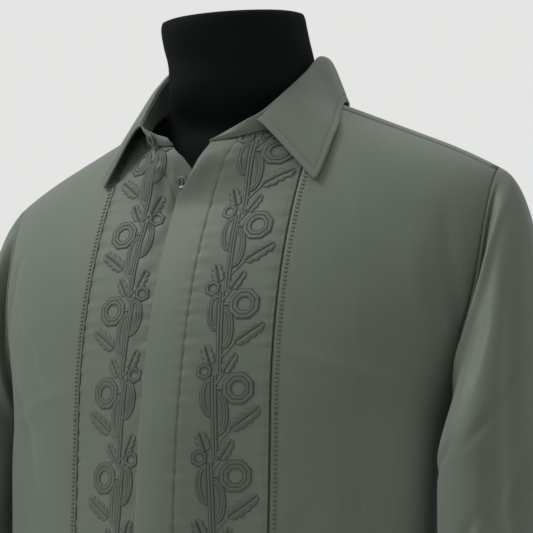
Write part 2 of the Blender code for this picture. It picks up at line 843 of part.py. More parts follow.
def add_buttons(material):
    """The buttons that show: one at the V, one on the stand's end and one on each cuff."""
    below, above = (lapped_point(FRONT_BUTTON_X, level) for level in CHEST_LEVELS[6:8])
    beside = lapped_point(FRONT_BUTTON_X + FRONT_BUTTON, CHEST_LEVELS[7])
    normal = (beside - above).cross(above - below).normalized()
    place = below.lerp(above, FRONT_BUTTON_RISE)
    add_button("front_button", FRONT_BUTTON, place, normal, material)

    place = stand_point(-1, 0.105, 0.5)
    along = stand_point(-1, 0.13, 0.5) - place
    up = stand_point(-1, 0.105, 0.7) - place
    normal = up.cross(along).normalized()
    if normal.y > 0:
        normal = -normal
    add_button("stand_button", STAND_BUTTON, place, normal, material)

    for side, word in ((1, "left"), (-1, "right")):
        height = (CUFF_TOP + CUFF_BOTTOM) / 2 / MM
        place = cuff_point(side, height, CUFF_STEPS - 1)
        along = cuff_point(side, height, CUFF_STEPS) - cuff_point(side, height, CUFF_STEPS - 2)
        normal = along.cross(UP).normalized()
        if normal.x * side < 0:
            normal = -normal
        add_button(f"cuff_button_{word}", CUFF_BUTTON, place, normal, material)


def main():
    clear_scene()
    cloth = make_material("shirt_cloth", CLOTH_COLOUR, 0.62)
    plastic = make_material("button_plastic", BUTTON_COLOUR, 0.35)
    form = make_material("form_cover", FORM_COLOUR, 0.8)
    middle = Vector((0, 0, 0.45))

    add_form(form)
    sheet("panel_left", panel_rows(1, no_drop), cloth, CLOTH, middle)
    sheet("panel_right", panel_rows(-1, underlap_drop), cloth, CLOTH, middle)
    sheet("fly_left", fly_rows(), cloth, CLOTH, middle)
    sheet("front_left", side_front_rows(1), cloth, CLOTH, middle)
    sheet("front_right", side_front_rows(-1), cloth, CLOTH, middle)
    sheet("back", back_rows(), cloth, CLOTH, middle)
    sheet("yoke", yoke_rows(), cloth, CLOTH, middle)
    for side, word in ((1, "left"), (-1, "right")):
        arm = Vector((side * 0.23, -0.02, 0.4))
        sheet(f"sleeve_{word}", sleeve_rows(side), cloth, CLOTH, arm, closed=True)
        cuff_centre = Vector((side * 0.231, -0.029, 0.134))
        sheet(f"cuff_{word}", cuff_rows(side), cloth, CLOTH, cuff_centre)
    sheet("collar_stand", stand_rows(), cloth, COLLAR_CLOTH, Vector((0, -0.01, 0.8)))
    sheet("collar_fall", fall_rows(), cloth, COLLAR_CLOTH, Vector((0, -0.01, 0.78)))
    add_buttons(plastic)


main()
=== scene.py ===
"""An embroidered shirt on a limbless dress form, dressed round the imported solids.

The shirt's body is one surface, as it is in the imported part: an angle goes round it from the
centre front (0) past the side seam (90) to the centre back (180), and a level goes up it. Below
the armholes a level is minus the drop in metres, and above them it runs from 0 to 1 at the
shoulder ridge. Tables are in millimetres above the floor, and points are in metres. The wearer
faces -Y and their left is +X.
"""

import bisect
import logging
import math
from dataclasses import dataclass, field, fields
from enum import Enum
from itertools import accumulate
from typing import Any, Callable, Sequence

import bmesh
import bpy
from mathutils import Matrix, Vector


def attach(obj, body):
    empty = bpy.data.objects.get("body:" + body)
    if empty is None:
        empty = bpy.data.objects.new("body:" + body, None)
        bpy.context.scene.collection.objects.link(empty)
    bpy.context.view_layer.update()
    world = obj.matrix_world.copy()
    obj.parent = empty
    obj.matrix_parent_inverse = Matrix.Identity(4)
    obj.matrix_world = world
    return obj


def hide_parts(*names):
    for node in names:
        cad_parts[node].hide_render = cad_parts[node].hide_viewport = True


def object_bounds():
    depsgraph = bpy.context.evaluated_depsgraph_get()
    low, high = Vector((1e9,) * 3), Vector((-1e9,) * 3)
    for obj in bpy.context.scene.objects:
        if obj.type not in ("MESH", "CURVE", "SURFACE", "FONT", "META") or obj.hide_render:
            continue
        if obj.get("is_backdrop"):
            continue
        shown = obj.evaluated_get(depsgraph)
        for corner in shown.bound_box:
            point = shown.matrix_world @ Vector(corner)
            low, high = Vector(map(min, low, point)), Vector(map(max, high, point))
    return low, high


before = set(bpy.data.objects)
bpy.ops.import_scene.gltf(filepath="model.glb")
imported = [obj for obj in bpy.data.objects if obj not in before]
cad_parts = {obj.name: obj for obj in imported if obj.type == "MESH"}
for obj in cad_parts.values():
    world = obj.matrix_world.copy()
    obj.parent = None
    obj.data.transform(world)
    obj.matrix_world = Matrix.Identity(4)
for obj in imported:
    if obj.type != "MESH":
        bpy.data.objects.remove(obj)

CAD_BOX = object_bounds()
LOG = logging.getLogger("shirt")
MM = 0.001
UP = Vector((0, 0, 1))
Row = list[Vector]
Flat = tuple[float, float]


class Side(Enum):
    """The wearer's side, as the sign of X."""

    LEFT = 1
    RIGHT = -1

    @property
    def word(self) -> str:
        """The side in lower case, for piece names."""
        return self.name.lower()


def ease(value: float) -> float:
    """A smooth step from 0 to 1."""
    value = min(max(value, 0.0), 1.0)
    return value * value * (3 - 2 * value)


def spaced(steps: int) -> list[float]:
    """Shares from 0 to 1 in even steps, one more than there are steps."""
    return [j / steps for j in range(steps + 1)]


def table(kind: Callable[..., Any], *rows: tuple[float | str, ...]) -> tuple[Any, ...]:
    """A table of entries of one kind."""
    return tuple(kind(*row) for row in rows)


def lengths_along(points: Sequence[Vector]) -> list[float]:
    """How far along a line each of its points is."""
    steps = [(after - before).length for before, after in zip(points, points[1:])]
    return list(accumulate(steps, initial=0.0))


def bell(distance: float, width: float) -> float:
    """1 in the middle of a ridge or groove, fading away on both sides."""
    return math.exp(-((distance / width) ** 2))


class Curve:
    """A smooth curve through a table's rows that doesn't overshoot them."""

    def __init__(self, rows: Sequence[Any]) -> None:
        """Reads a table whose first column is the key.

        Args:
            rows: dataclass rows in rising order of their first field.
        """
        names = [item.name for item in fields(rows[0])]
        self.keys = [getattr(row, names[0]) for row in rows]
        self.columns = {name: [getattr(row, name) for row in rows] for name in names[1:]}
        self.slopes = {name: self._slopes(values) for name, values in self.columns.items()}

    def _slopes(self, values: Sequence[float]) -> list[float]:
        """The slope at each row: the harmonic mean of its neighbours', or flat at a peak."""
        chords = [
            (values[j + 1] - values[j]) / (self.keys[j + 1] - self.keys[j])
            for j in range(len(values) - 1)
        ]
        slopes = [chords[0]]
        for before, after in zip(chords, chords[1:]):
            product = before * after
            slopes.append(2 * product / (before + after) if product > 0 else 0.0)
        return slopes + [chords[-1]]

    def at(self, key: float, name: str) -> float:
        """The curve's value.

        Args:
            key: where to read it.
            name: the column.

        Returns:
            The value in the column's own unit.
        """
        keys = self.keys
        key = min(max(key, keys[0]), keys[-1])
        i = min(max(bisect.bisect_right(keys, key) - 1, 0), len(keys) - 2)
        step = keys[i + 1] - keys[i]
        t = (key - keys[i]) / step
        values, slopes = self.columns[name], self.slopes[name]
        return (
            (2 * t**3 - 3 * t**2 + 1) * values[i]
            + (t**3 - 2 * t**2 + t) * slopes[i] * step
            + (3 * t**2 - 2 * t**3) * values[i + 1]
            + (t**3 - t**2) * slopes[i + 1] * step
        )


def curve(rows: Sequence[Any]) -> Any:
    """A dataclass's field with a curve for its default."""
    return field(default_factory=lambda: Curve(rows))


def spot(x: float, y: float, z: float) -> Any:
    """A dataclass's field with a place or a direction for its default."""
    return field(default_factory=lambda: Vector((x, y, z)))


# Materials


def srgb(code: str) -> tuple[float, float, float, float]:
    """A linear colour from an sRGB hex code."""
    parts = [int(code[i : i + 2], 16) / 255 for i in (1, 3, 5)]
    linear = [c / 12.92 if c <= 0.04045 else ((c + 0.055) / 1.055) ** 2.4 for c in parts]
    return (linear[0], linear[1], linear[2], 1.0)


def add_node(
    tree: bpy.types.NodeTree,
    kind: str,
    values: dict[str | int, Any] | None = None,
    links: dict[str | int, bpy.types.NodeSocket] | None = None,
    **settings: Any,
) -> bpy.types.Node:
    """Adds a node.

    Args:
        tree: the material's or the world's node tree.
        kind: the node's type.
        values: input values by socket name or number.
        links: sockets that feed its inputs, by name or number.
        **settings: the node's own properties.

    Returns:
        The node.
    """
    node = tree.nodes.new(kind)
    for name, value in settings.items():
        setattr(node, name, value)
    for socket, value in (values or {}).items():
        node.inputs[socket].default_value = value
    for socket, source in (links or {}).items():
        tree.links.new(source, node.inputs[socket])
    return node


class Shading:
    """A material in the making: its pattern's place, and the shader that its nodes feed."""

    def __init__(self, name: str, uv_map: str = "") -> None:
        """Starts a material.

        Args:
            name: the real material's name.
            uv_map: the UV map in metres that its pattern follows, or nothing for the object's
                own space.
        """
        self.material = bpy.data.materials.new(name)
        self.material.use_nodes = True
        self.tree = self.material.node_tree
        self.shader = self.tree.nodes["Principled BSDF"]
        if uv_map:
            self.place = add_node(self.tree, "ShaderNodeUVMap", uv_map=uv_map).outputs[0]
        else:
            self.place = add_node(self.tree, "ShaderNodeTexCoord").outputs["Object"]

    def noise(
        self, scale: float, detail: float, place: bpy.types.NodeSocket | None = None, **more: float
    ) -> bpy.types.NodeSocket:
        """Noise of a scale, in spots to a metre."""
        values = {"Scale": scale, "Detail": detail, **more}
        links = {"Vector": place or self.place}
        return add_node(self.tree, "ShaderNodeTexNoise", values, links).outputs["Fac"]

    def wave(
        self, spacing_mm: float, direction: str, distortion: float, detail: float = 2.0
    ) -> bpy.types.NodeSocket:
        """Bands this far apart: a wave repeats every 2 * pi / (20 * scale) of its input."""
        scale = math.pi / (10 * spacing_mm * MM)
        values = {"Scale": scale, "Distortion": distortion, "Detail": detail}
        links = {"Vector": self.place}
        node = add_node(self.tree, "ShaderNodeTexWave", values, links, bands_direction=direction)
        return node.outputs["Fac"]

    def scaled(
        self, value: bpy.types.NodeSocket, factor: float, added: bpy.types.NodeSocket | None = None
    ) -> bpy.types.NodeSocket:
        """A value times a factor, with another added."""
        links = {0: value, 2: added} if added else {0: value}
        values = {1: factor} if added else {1: factor, 2: 0.0}
        node = add_node(self.tree, "ShaderNodeMath", values, links, operation="MULTIPLY_ADD")
        return node.outputs[0]

    def ranged(
        self, value: bpy.types.NodeSocket, source: Flat = (0.0, 1.0), target: Flat = (0.0, 1.0)
    ) -> bpy.types.NodeSocket:
        """A value moved from one range to another."""
        values = dict(zip(("From Min", "From Max", "To Min", "To Max"), source + target))
        return add_node(self.tree, "ShaderNodeMapRange", values, {"Value": value}).outputs[0]

    def feed(self, socket: str, source: bpy.types.NodeSocket) -> None:
        """Feeds one of the shader's sockets."""
        self.tree.links.new(source, self.shader.inputs[socket])

    def blend(self, first: str, second: str, share: bpy.types.NodeSocket) -> None:
        """Colours it between two sRGB codes."""
        colours = {6: srgb(first), 7: srgb(second)}
        node = add_node(self.tree, "ShaderNodeMix", colours, {0: share}, data_type="RGBA")
        self.feed("Base Color", node.outputs[2])

    def bump(self, height: bpy.types.NodeSocket, strength: float, depth_mm: float) -> None:
        """Raises its face."""
        values = {"Strength": strength, "Distance": depth_mm * MM}
        node = add_node(self.tree, "ShaderNodeBump", values, {"Height": height})
        self.feed("Normal", node.outputs[0])

    def finish(self, values: dict[str, Any]) -> bpy.types.Material:
        """Sets the shader's own sockets and gives the material."""
        for socket, value in values.items():
            self.shader.inputs[socket].default_value = value
        return self.material


@dataclass(frozen=True)
class WovenCloth:
    """Polyester and viscose plain weave, piece dyed and pressed: fine, drapy, with a silky bloom.

    The yarns are about 0.25 mm apart, too fine to show here, so the weave is drawn at yarn_mm.
    Thicker warp yarns run up the cloth as faint streaks.
    """

    name: str = "viscose_blend_plain_weave"
    light: str = "#707a6c"
    dark: str = "#6a7467"
    roughness: float = 0.56
    sheen: float = 0.35
    yarn_mm: float = 0.55
    slub_mm: float = 1.1
    slub_length_mm: float = 46.0
    shade_mm: float = 60.0

    def build(self) -> bpy.types.Material:
        """Makes the material, whose weave follows the piece's "cloth" UV map."""
        make = Shading(self.name, "cloth")
        stretch = (1 / (self.slub_mm * MM), 1 / (self.slub_length_mm * MM), 1)
        streaks = add_node(
            make.tree, "ShaderNodeMapping", {"Scale": stretch}, {"Vector": make.place}
        ).outputs[0]
        slub = make.noise(1.0, 3.0, streaks, Roughness=0.6)
        shade = make.noise(1 / (self.shade_mm * MM), 2.0)
        share = make.scaled(slub, 0.65, make.scaled(shade, 0.35))
        make.blend(self.light, self.dark, make.ranged(share, (0.36, 0.64)))
        warp, weft = (make.wave(self.yarn_mm, axis, 0.4, 1.0) for axis in "XY")
        weave = add_node(
            make.tree, "ShaderNodeMath", links={0: warp, 1: weft}, operation="MULTIPLY"
        ).outputs[0]
        make.bump(make.scaled(slub, 0.8, weave), 0.22, 0.06)
        rough = make.ranged(slub, target=(self.roughness - 0.05, self.roughness + 0.06))
        make.feed("Roughness", rough)
        return make.finish({
            "Sheen Weight": self.sheen,
            "Sheen Roughness": 0.4,
            "Sheen Tint": srgb("#dfe8e2"),
            "Specular IOR Level": 0.35,
        })


@dataclass(frozen=True)
class SatinStitch:
    """Rayon embroidery thread in satin stitch, tone on tone: parallel strands with a soft gloss.

    The strands are 0.35 mm apart, drawn at strand_mm across the length of each stitched shape.
    """

    name: str = "rayon_satin_stitch"
    light: str = "#677163"
    dark: str = "#515a4e"
    roughness: float = 0.5
    strand_mm: float = 0.7

    def build(self) -> bpy.types.Material:
        """Makes the material, whose strands follow the piece's "stitch" UV map."""
        make = Shading(self.name, "stitch")
        strands = make.wave(self.strand_mm, "Y", 1.2)
        share = make.scaled(make.noise(260.0, 3.0), 0.5, strands)
        make.blend(self.dark, self.light, make.ranged(share, (0.2, 1.3)))
        make.bump(strands, 0.5, 0.15)
        return make.finish({
            "Roughness": self.roughness,
            "Sheen Weight": 0.2,
            "Sheen Roughness": 0.4,
            "Specular IOR Level": 0.45,
        })


@dataclass(frozen=True)
class SewingThread:
    """Spun polyester sewing thread: matt, hairy, a tone darker than the cloth.

    The thread's twist repeats every 0.5 mm, and its wear lightens it here and there.
    """

    name: str = "spun_polyester_thread"
    light: str = "#565f53"
    dark: str = "#434b41"
    roughness: float = 0.7
    twist_mm: float = 0.5

    def build(self) -> bpy.types.Material:
        """Makes the material."""
        make = Shading(self.name)
        make.blend(self.dark, self.light, make.noise(90.0, 3.0))
        make.bump(make.wave(self.twist_mm, "DIAGONAL", 2.0), 0.5, 0.1)
        return make.finish({"Roughness": self.roughness})


@dataclass(frozen=True)
class MouldedButton:
    """Cast polyester button, turned and tumbled: satin, with a faint pearly drift in its colour."""

    name: str = "cast_polyester_button"
    light: str = "#6c776d"
    dark: str = "#505b53"
    roughness: float = 0.28
    drift_mm: float = 4.0

    def build(self) -> bpy.types.Material:
        """Makes the material, with fine scuffs from the tumbling."""
        make = Shading(self.name)
        drift = make.noise(1 / (self.drift_mm * MM), 3.0, Distortion=1.5)
        make.blend(self.dark, self.light, drift)
        scuffs = make.noise(1800.0, 4.0)
        rough = make.ranged(scuffs, target=(self.roughness - 0.06, self.roughness + 0.16))
        make.feed("Roughness", rough)
        make.bump(scuffs, 0.15, 0.05)
        return make.finish({"Coat Weight": 0.25, "Coat Roughness": 0.2})


@dataclass(frozen=True)
class FormJersey:
    """Cotton jersey stretched over a moulded torso: near black, matt, with fine knitted ribs.

    The wales are about 0.8 mm apart and are drawn at wale_mm.
    """

    name: str = "cotton_jersey_cover"
    light: str = "#151b1b"
    dark: str = "#101515"
    roughness: float = 0.86
    wale_mm: float = 1.3

    def build(self) -> bpy.types.Material:
        """Makes the material, whose ribs follow the form's "cloth" UV map."""
        make = Shading(self.name, "cloth")
        fuzz = make.noise(420.0, 4.0)
        make.blend(self.dark, self.light, fuzz)
        make.bump(make.scaled(fuzz, 0.6, make.wave(self.wale_mm, "X", 0.6, 1.0)), 0.4, 0.12)
        return make.finish({"Roughness": self.roughness, "Specular IOR Level": 0.12})


@dataclass(frozen=True)
class StagePaper:
    """Matt pale paper for the floor."""

    name: str = "matt_backdrop_paper"
    colour: str = "#e5e5e4"

    def build(self) -> bpy.types.Material:
        """Makes the material."""
        make = Shading(self.name)
        make.bump(make.noise(240.0, 3.0), 0.05, 0.1)
        return make.finish({"Base Color": srgb(self.colour), "Roughness": 0.9})


class Wardrobe:
    """The finishes, each made once."""

    def __init__(self) -> None:
        """Builds every finish."""
        self.cloth = WovenCloth().build()
        self.embroidery = SatinStitch().build()
        self.embroidery_dark = SatinStitch("rayon_trim_thread", "#5a6356", "#434b41").build()
        self.outline = SatinStitch("rayon_outline_thread", "#383f36", "#2b3029").build()
        self.thread = SewingThread().build()
        self.button = MouldedButton().build()
        self.form = FormJersey().build()


# Mesh helpers


def finish_piece(
    obj: bpy.types.Object, material: bpy.types.Material, slot: str, *nodes: str
) -> None:
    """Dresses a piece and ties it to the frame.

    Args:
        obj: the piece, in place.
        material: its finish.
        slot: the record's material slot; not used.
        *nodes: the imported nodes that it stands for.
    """
    obj.data.materials.clear()
    obj.data.materials.append(material)
    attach(obj, "root")
    if nodes:
        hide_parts(*nodes)


def mesh_from(name: str, bm: bmesh.types.BMesh) -> bpy.types.Mesh:
    """A mesh from a bmesh, which it frees."""
    mesh = bpy.data.meshes.new(name)
    bm.to_mesh(mesh)
    bm.free()
    return mesh


def object_from(name: str, mesh: bpy.types.Mesh) -> bpy.types.Object:
    """Puts a mesh into the scene."""
    obj = bpy.data.objects.new(name, mesh)
    bpy.context.scene.collection.objects.link(obj)
    return obj


def grid_mesh(
    name: str, rows: Sequence[Row], centre: Vector, closed: bool = False, caps: bool = False
) -> bpy.types.Mesh:
    """A mesh through rows of points, with a UV map in metres along and across the cloth.

    Args:
        name: the mesh's name.
        rows: the points, every row as long as the others.
        centre: a point that the faces turn away from.
        closed: whether each row runs round into itself.
        caps: whether the first and last rows are filled in.

    Returns:
        The mesh, shaded smooth.
    """
    columns = len(rows[0])
    middle_row = rows[len(rows) // 2]
    across = [0.0]
    for j in range(1, columns + 1):
        across.append(across[-1] + (middle_row[j % columns] - middle_row[j - 1]).length)
    middle = columns // 2
    along = [0.0]
    for before, after in zip(rows, rows[1:]):
        along.append(along[-1] + (after[middle] - before[middle]).length)
    mesh = bpy.data.meshes.new(name)
    points = [point for row in rows for point in row]
    faces = []
    corners: list[Flat] = []
    for i in range(len(rows) - 1):
        for j in range(columns if closed else columns - 1):
            k = (j + 1) % columns
            faces.append(
                (i * columns + j, i * columns + k, (i + 1) * columns + k, (i + 1) * columns + j)
            )
            corners += [
                (across[j], along[i]),
                (across[j + 1], along[i]),
                (across[j + 1], along[i + 1]),
                (across[j], along[i + 1]),
            ]
    if caps:
        last = (len(rows) - 1) * columns
        faces.append(tuple(reversed(range(columns))))
        faces.append(tuple(range(last, last + columns)))
        for ring in (list(reversed(rows[0])), rows[-1]):
            corners += [(point.x, point.y) for point in ring]
    mesh.from_pydata(points, [], faces)
    layer = mesh.uv_layers.new(name="cloth")
    layer.data.foreach_set("uv", [value for corner in corners for value in corner])
    mesh.update()
    total = sum((p.center - centre).dot(p.normal) * p.area for p in mesh.polygons)
    if total < 0:
        mesh.flip_normals()
    mesh.shade_smooth()
    return mesh


def cloth_sheet(
    name: str, rows: Sequence[Row], thick: float, centre: Vector, closed: bool = False
) -> bpy.types.Object:
    """Cloth: rows of points on its outer face, given a thickness inwards.

    Args:
        name: the piece's name.
        rows: the points.
        thick: the cloth's thickness in metres.
        centre: a point inside, which the outer face turns away from.
        closed: whether each row runs round into itself.

    Returns:
        The piece, with its thickness added.
    """
    obj = object_from(name, grid_mesh(name, rows, centre, closed))
    shell = obj.modifiers.new("Thickness", "SOLIDIFY")
    shell.thickness = thick
    shell.offset = -1
    return obj


# The body of the shirt


@dataclass(frozen=True)
class Section:
    """A horizontal section of the body: a level, and half sizes in millimetres."""

    level: float
    half_width: float
    front: float
    back: float


@dataclass(frozen=True)
class Ridge:
    """How far the buttoned edge stands proud of the chest at a height."""

    height: float
    depth: float


@dataclass(frozen=True)
class Edge:
    """Where the two buttoned edges are across the chest at a height."""

    height: float
    left: float
    right: float


@dataclass(frozen=True)
class Fold:
    """A large fold: angle round the body, half width in degrees, heights, depths and lean."""

    side: int
    around: float
    spread: float
    top: float
    bottom: float
    depth_top: float
    depth_bottom: float
    lean: float


@dataclass(frozen=True)
class Crease:
    """A soft crease between two places, each an angle and a height, with its width and depth."""

    side: int
    around_a: float
    height_a: float
    around_b: float
    height_b: float
    width: float
    depth: float
    bow: float = 0.0

    def at(self, side: int, around: float, height: float, per_degree: float) -> float:
        """How far it pushes the cloth out.

        Args:
            side: 1 or -1.
            around: the place's angle.
            height: the place's height in millimetres.
            per_degree: millimetres of cloth to a degree.

        Returns:
            The push in millimetres, negative in a trough.
        """
        if self.side not in (0, side):
            return 0.0
        ax, bx = self.around_a * per_degree, self.around_b * per_degree
        dx, dz = bx - ax, self.height_b - self.height_a
        long2 = dx * dx + dz * dz
        px, pz = around * per_degree - ax, height - self.height_a
        along = (px * dx + pz * dz) / long2
        if not -0.25 < along < 1.25:
            return 0.0
        apart = (px * dz - pz * dx) / math.sqrt(long2)
        apart -= self.bow * math.sin(math.pi * min(max(along, 0.0), 1.0))
        apart /= self.width
        if abs(apart) > 3:
            return 0.0
        fade = ease((along + 0.25) / 0.5) * ease((1.25 - along) / 0.5)
        # A trough has a slight rise on each side, as pushed cloth does
        return self.depth * fade * math.exp(-apart * apart) * (1 - 0.45 * apart * apart)


@dataclass(frozen=True)
class ArmholeCurve:
    """An armhole seam's angle: its straight run, its turn under the arm and its lean at the top."""

    angle: float
    turn: float
    turn_level: float
    turn_power: float
    lean: float
    lean_power: int

    def at(self, level: float) -> float:
        """The angle at a level."""
        under = max(0.0, 1 - level / self.turn_level) ** self.turn_power
        return self.angle + self.turn * under + self.lean * level**self.lean_power


ARMHOLE_FRONT = ArmholeCurve(71.5, 18.5, 0.33, 1.7, 2.5, 4)
ARMHOLE_BACK = ArmholeCurve(62.5, 27.5, 0.35, 1.5, 10.5, 3)
BODY_SECTIONS = table(
    Section,
    (-0.498, 200, 134, 128), (-0.350, 198, 132, 126), (-0.200, 199, 130, 122),
    (-0.090, 200, 128, 118), (0.000, 203, 127, 116), (0.060, 205.5, 127, 116),
    (0.200, 214, 127, 116), (0.390, 227.5, 127, 116), (0.630, 234, 127, 116),
    (1.000, 236, 127, 116),
)
PLACKET_RIDGE = table(
    Ridge,
    (40, 9), (300, 13), (450, 14), (517, 12), (557, 8), (655, 4), (710, 1), (810, 0),
)
FRONT_EDGES = table(
    Edge,
    (40, -17, 17), (690, -17, 17), (715, -15.5, 11), (724, -11, 4), (737, -4, -4), (751, 3, -14),
    (763, 9, -26), (810, 9, -26),
)
BODY_FOLDS = table(
    Fold,
    (0, 64, 10, 640, 40, 11, 5, 0), (0, 90, 15, 610, 40, -22, -9, 0),
    (1, 38, 7, 330, 40, -1, -6, 5), (-1, 42, 7, 300, 40, -1, -7, -5),
    (1, 118, 9, 520, 40, -4, -8, 4), (-1, 121, 9, 500, 40, -4, -9, -3),
    (1, 146, 10, 560, 40, 3, 6, -4), (-1, 143, 10, 570, 40, 3, 6, 5),
    (1, 165, 8, 420, 40, -2, -7, 3), (-1, 169, 8, 400, 40, -2, -6, -3),
)
BODY_CREASES = table(
    Crease,
    (1, 29, 584, 62, 557, 7.5, 1.5, 3), (1, 33, 735, 43, 588, 3.0, 0.3, 0),
    (1, 58, 690, 71, 605, 8, -2.4, 3), (1, 50, 672, 60, 600, 11, 1.4, 3),
    (1, 30, 430, 50, 405, 7, 1.0, -3), (-1, 31, 560, 58, 540, 8, 1.2, -3),
    (-1, 6.5, 752, 8, 690, 4, -2.0, 0), (-1, 34, 730, 42, 590, 3.0, 0.3, 0),
    (-1, 57, 680, 70, 600, 9, -2.0, 3), (1, 36, 470, 27, 380, 11, -1.2, 3),
    (1, 52, 430, 43, 300, 12, -1.7, -4), (1, 33, 250, 40, 120, 12, -2.0, 5),
    (-1, 60, 650, 42, 575, 9, -1.5, 4), (-1, 64, 600, 47, 500, 8, -1.9, 3),
    (-1, 34, 450, 27, 360, 10, -1.1, 3), (-1, 52, 400, 41, 260, 12, -1.8, -4),
    (-1, 31, 240, 38, 100, 12, -1.9, 5), (1, 112, 640, 138, 560, 10, -2.0, -4),
    (-1, 110, 640, 135, 545, 10, -2.2, -4), (1, 120, 500, 150, 420, 11, -1.8, 5),
    (-1, 124, 480, 152, 390, 11, -1.7, 5), (1, 158, 610, 172, 480, 12, -1.5, 3),
    (-1, 155, 560, 170, 440, 12, -1.6, -3), (1, 135, 300, 165, 210, 13, -2.2, 4),
    (-1, 132, 330, 160, 230, 13, -2.0, -5),
)


@dataclass
class BodyShape:
    """The one surface that the fronts, the back and the yoke are cut from. Sizes are in metres."""

    neck_point: float = 0.800
    armhole_base: float = 0.538
    hem: float = 0.040
    front_squareness: float = 2.1
    back_squareness: float = 2.6
    front_arch: float = 1.75
    back_arch: float = 2.8
    shoulder_slope: float = 0.43
    shoulder_rise: float = 0.0062
    shoulder_start: float = 0.074
    shoulder_soft: float = 0.005
    shoulder_round_from: float = 0.175
    shoulder_round: float = 1.5
    ridge_width: float = 0.042
    flare: float = 0.020
    flare_from: float = 0.705
    flare_over: float = 0.056
    flare_flat: float = 0.022
    flare_fade: float = 0.066
    crease_per_degree: float = 2.7
    sections: Curve = curve(BODY_SECTIONS)
    ridge: Curve = curve(PLACKET_RIDGE)

    def shoulder_ridge(self, x: float) -> float:
        """Height of the shoulder's ridge at a distance across."""
        past = (abs(x) - self.shoulder_start) / self.shoulder_soft
        run = self.shoulder_soft * math.log1p(math.exp(min(past, 60)))
        rounding = self.shoulder_round * max(abs(x) - self.shoulder_round_from, 0.0) ** 2
        return self.neck_point + self.shoulder_rise - self.shoulder_slope * run - rounding

    def folds(self, side: int, around: float, height: float) -> float:
        """How far folds and creases push the cloth out at a place."""
        total = 0.0
        for fold in BODY_FOLDS:
            if fold.side not in (0, side):
                continue
            down = (fold.top * MM - height) / ((fold.top - fold.bottom) * MM)
            if down <= 0:
                continue
            apart = (around - fold.around - fold.lean * down) / fold.spread
            if abs(apart) > 4:
                continue
            depth = fold.depth_top + (fold.depth_bottom - fold.depth_top) * ease(down)
            total += depth * MM * ease(down / 0.25) * math.exp(-apart * apart)
        for crease in BODY_CREASES:
            total += crease.at(side, around, height / MM, self.crease_per_degree) * MM
        return total

    def point(self, side: int, around: float, level: float) -> Vector:
        """A point of the surface.

        Args:
            side: 1 on the wearer's left, -1 on the right.
            around: the angle from the centre front.
            level: the level, as the file's first lines say.

        Returns:
            The point, on the cloth's outer face.
        """
        back = around > 90
        squareness = self.back_squareness if back else self.front_squareness
        power = 2 / squareness
        angle = math.radians(around)
        sine, cosine = math.sin(angle), math.cos(angle)
        x = side * self.sections.at(level, "half_width") * MM * abs(sine) ** power
        depth = self.sections.at(level, "back" if back else "front") * MM * abs(cosine) ** power
        if level <= 0:
            height = self.armhole_base + level
            share = 1.0
        else:
            rise = min(level, 1.0)
            height = self.armhole_base + (self.shoulder_ridge(x) - self.armhole_base) * rise
            share = self.depth_at(rise, back)
        y = depth * share * (1 if back else -1)
        out = self.folds(side, around, height)
        x += side * out * sine
        y -= out * cosine
        if not back:
            y -= self.ridge.at(height / MM, "depth") * MM * bell(x, self.ridge_width)
            lift = ease((height - self.flare_from) / self.flare_over)
            y -= self.flare * lift * (1 - ease((abs(x) - self.flare_flat) / self.flare_fade))
        return Vector((x, y, height))

    def normal(self, side: int, around: float, level: float) -> Vector:
        """The surface's outward direction, from two short steps along it."""
        turn = 0.4 if around < 179 else -0.4
        lift = 0.004 if level < 0.99 else -0.004
        here = self.point(side, around, level)
        along = (self.point(side, around + turn, level) - here) * turn
        up = (self.point(side, around, level + lift) - here) * lift
        normal = along.cross(up).normalized() * side
        angle = math.radians(around)
        away = Vector((side * math.sin(angle), -math.cos(angle), 0.4))
        return normal if normal.dot(away) > 0 else -normal

    def offset(self, side: int, around: float, level: float, out: float) -> Vector:
        """A point moved out from the surface."""
        return self.point(side, around, level) + self.normal(side, around, level) * out

    def around_at(self, x: float, level: float, back: bool = False) -> float:
        """The angle where the surface is this far from the middle."""
        squareness = self.back_squareness if back else self.front_squareness
        share = min(abs(x) / (self.sections.at(level, "half_width") * MM), 1.0)
        angle = math.degrees(math.asin(share ** (squareness / 2)))
        return 180 - angle if back else angle

    def depth_at(self, level: float, back: bool) -> float:
        """The share of its full depth that the body has at a level."""
        arch = self.back_arch if back else self.front_arch
        return max(1 - level**arch, 0.0) ** (1 / arch)

    def level_at_depth(self, share: float, back: bool) -> float:
        """The level where the body is this share of its full depth."""
        arch = self.back_arch if back else self.front_arch
        return max(1 - abs(share) ** arch, 0.0) ** (1 / arch)

    def armhole_around(self, level: float, back: bool) -> float:
        """The angle of the armhole seam at a level."""
        if level <= 0:
            return 90.0
        return 180 - ARMHOLE_BACK.at(level) if back else ARMHOLE_FRONT.at(level)

    def side_gap(self, level: float, back: bool, gap: float) -> float:
        """Half a seam's gap at the side seam, as an angle."""
        depth = self.sections.at(level, "back" if back else "front") * MM
        squareness = self.back_squareness if back else self.front_squareness
        return math.degrees((gap / 2 / depth) ** (squareness / 2))

    def armhole_gap(self, level: float, gap: float) -> float:
        """A seam's gap beside the armhole, as an angle."""
        return math.degrees(gap / 2 / (self.sections.at(level, "half_width") * MM)) * 2.5

    def edge_around(self, level: float, back: bool, gap: float) -> float:
        """The angle where a front or the back ends, clear of its side or armhole seam."""
        clear = self.side_gap(level, back, gap) if level <= 0 else self.armhole_gap(level, gap)
        return self.armhole_around(level, back) + (clear if back else -clear)

    def low_levels(self, count: int) -> list[float]:
        """Even levels from the hem to the foot of the armholes."""
        below = self.armhole_base - self.hem
        return [-below * (1 - i / count) for i in range(count + 1)]

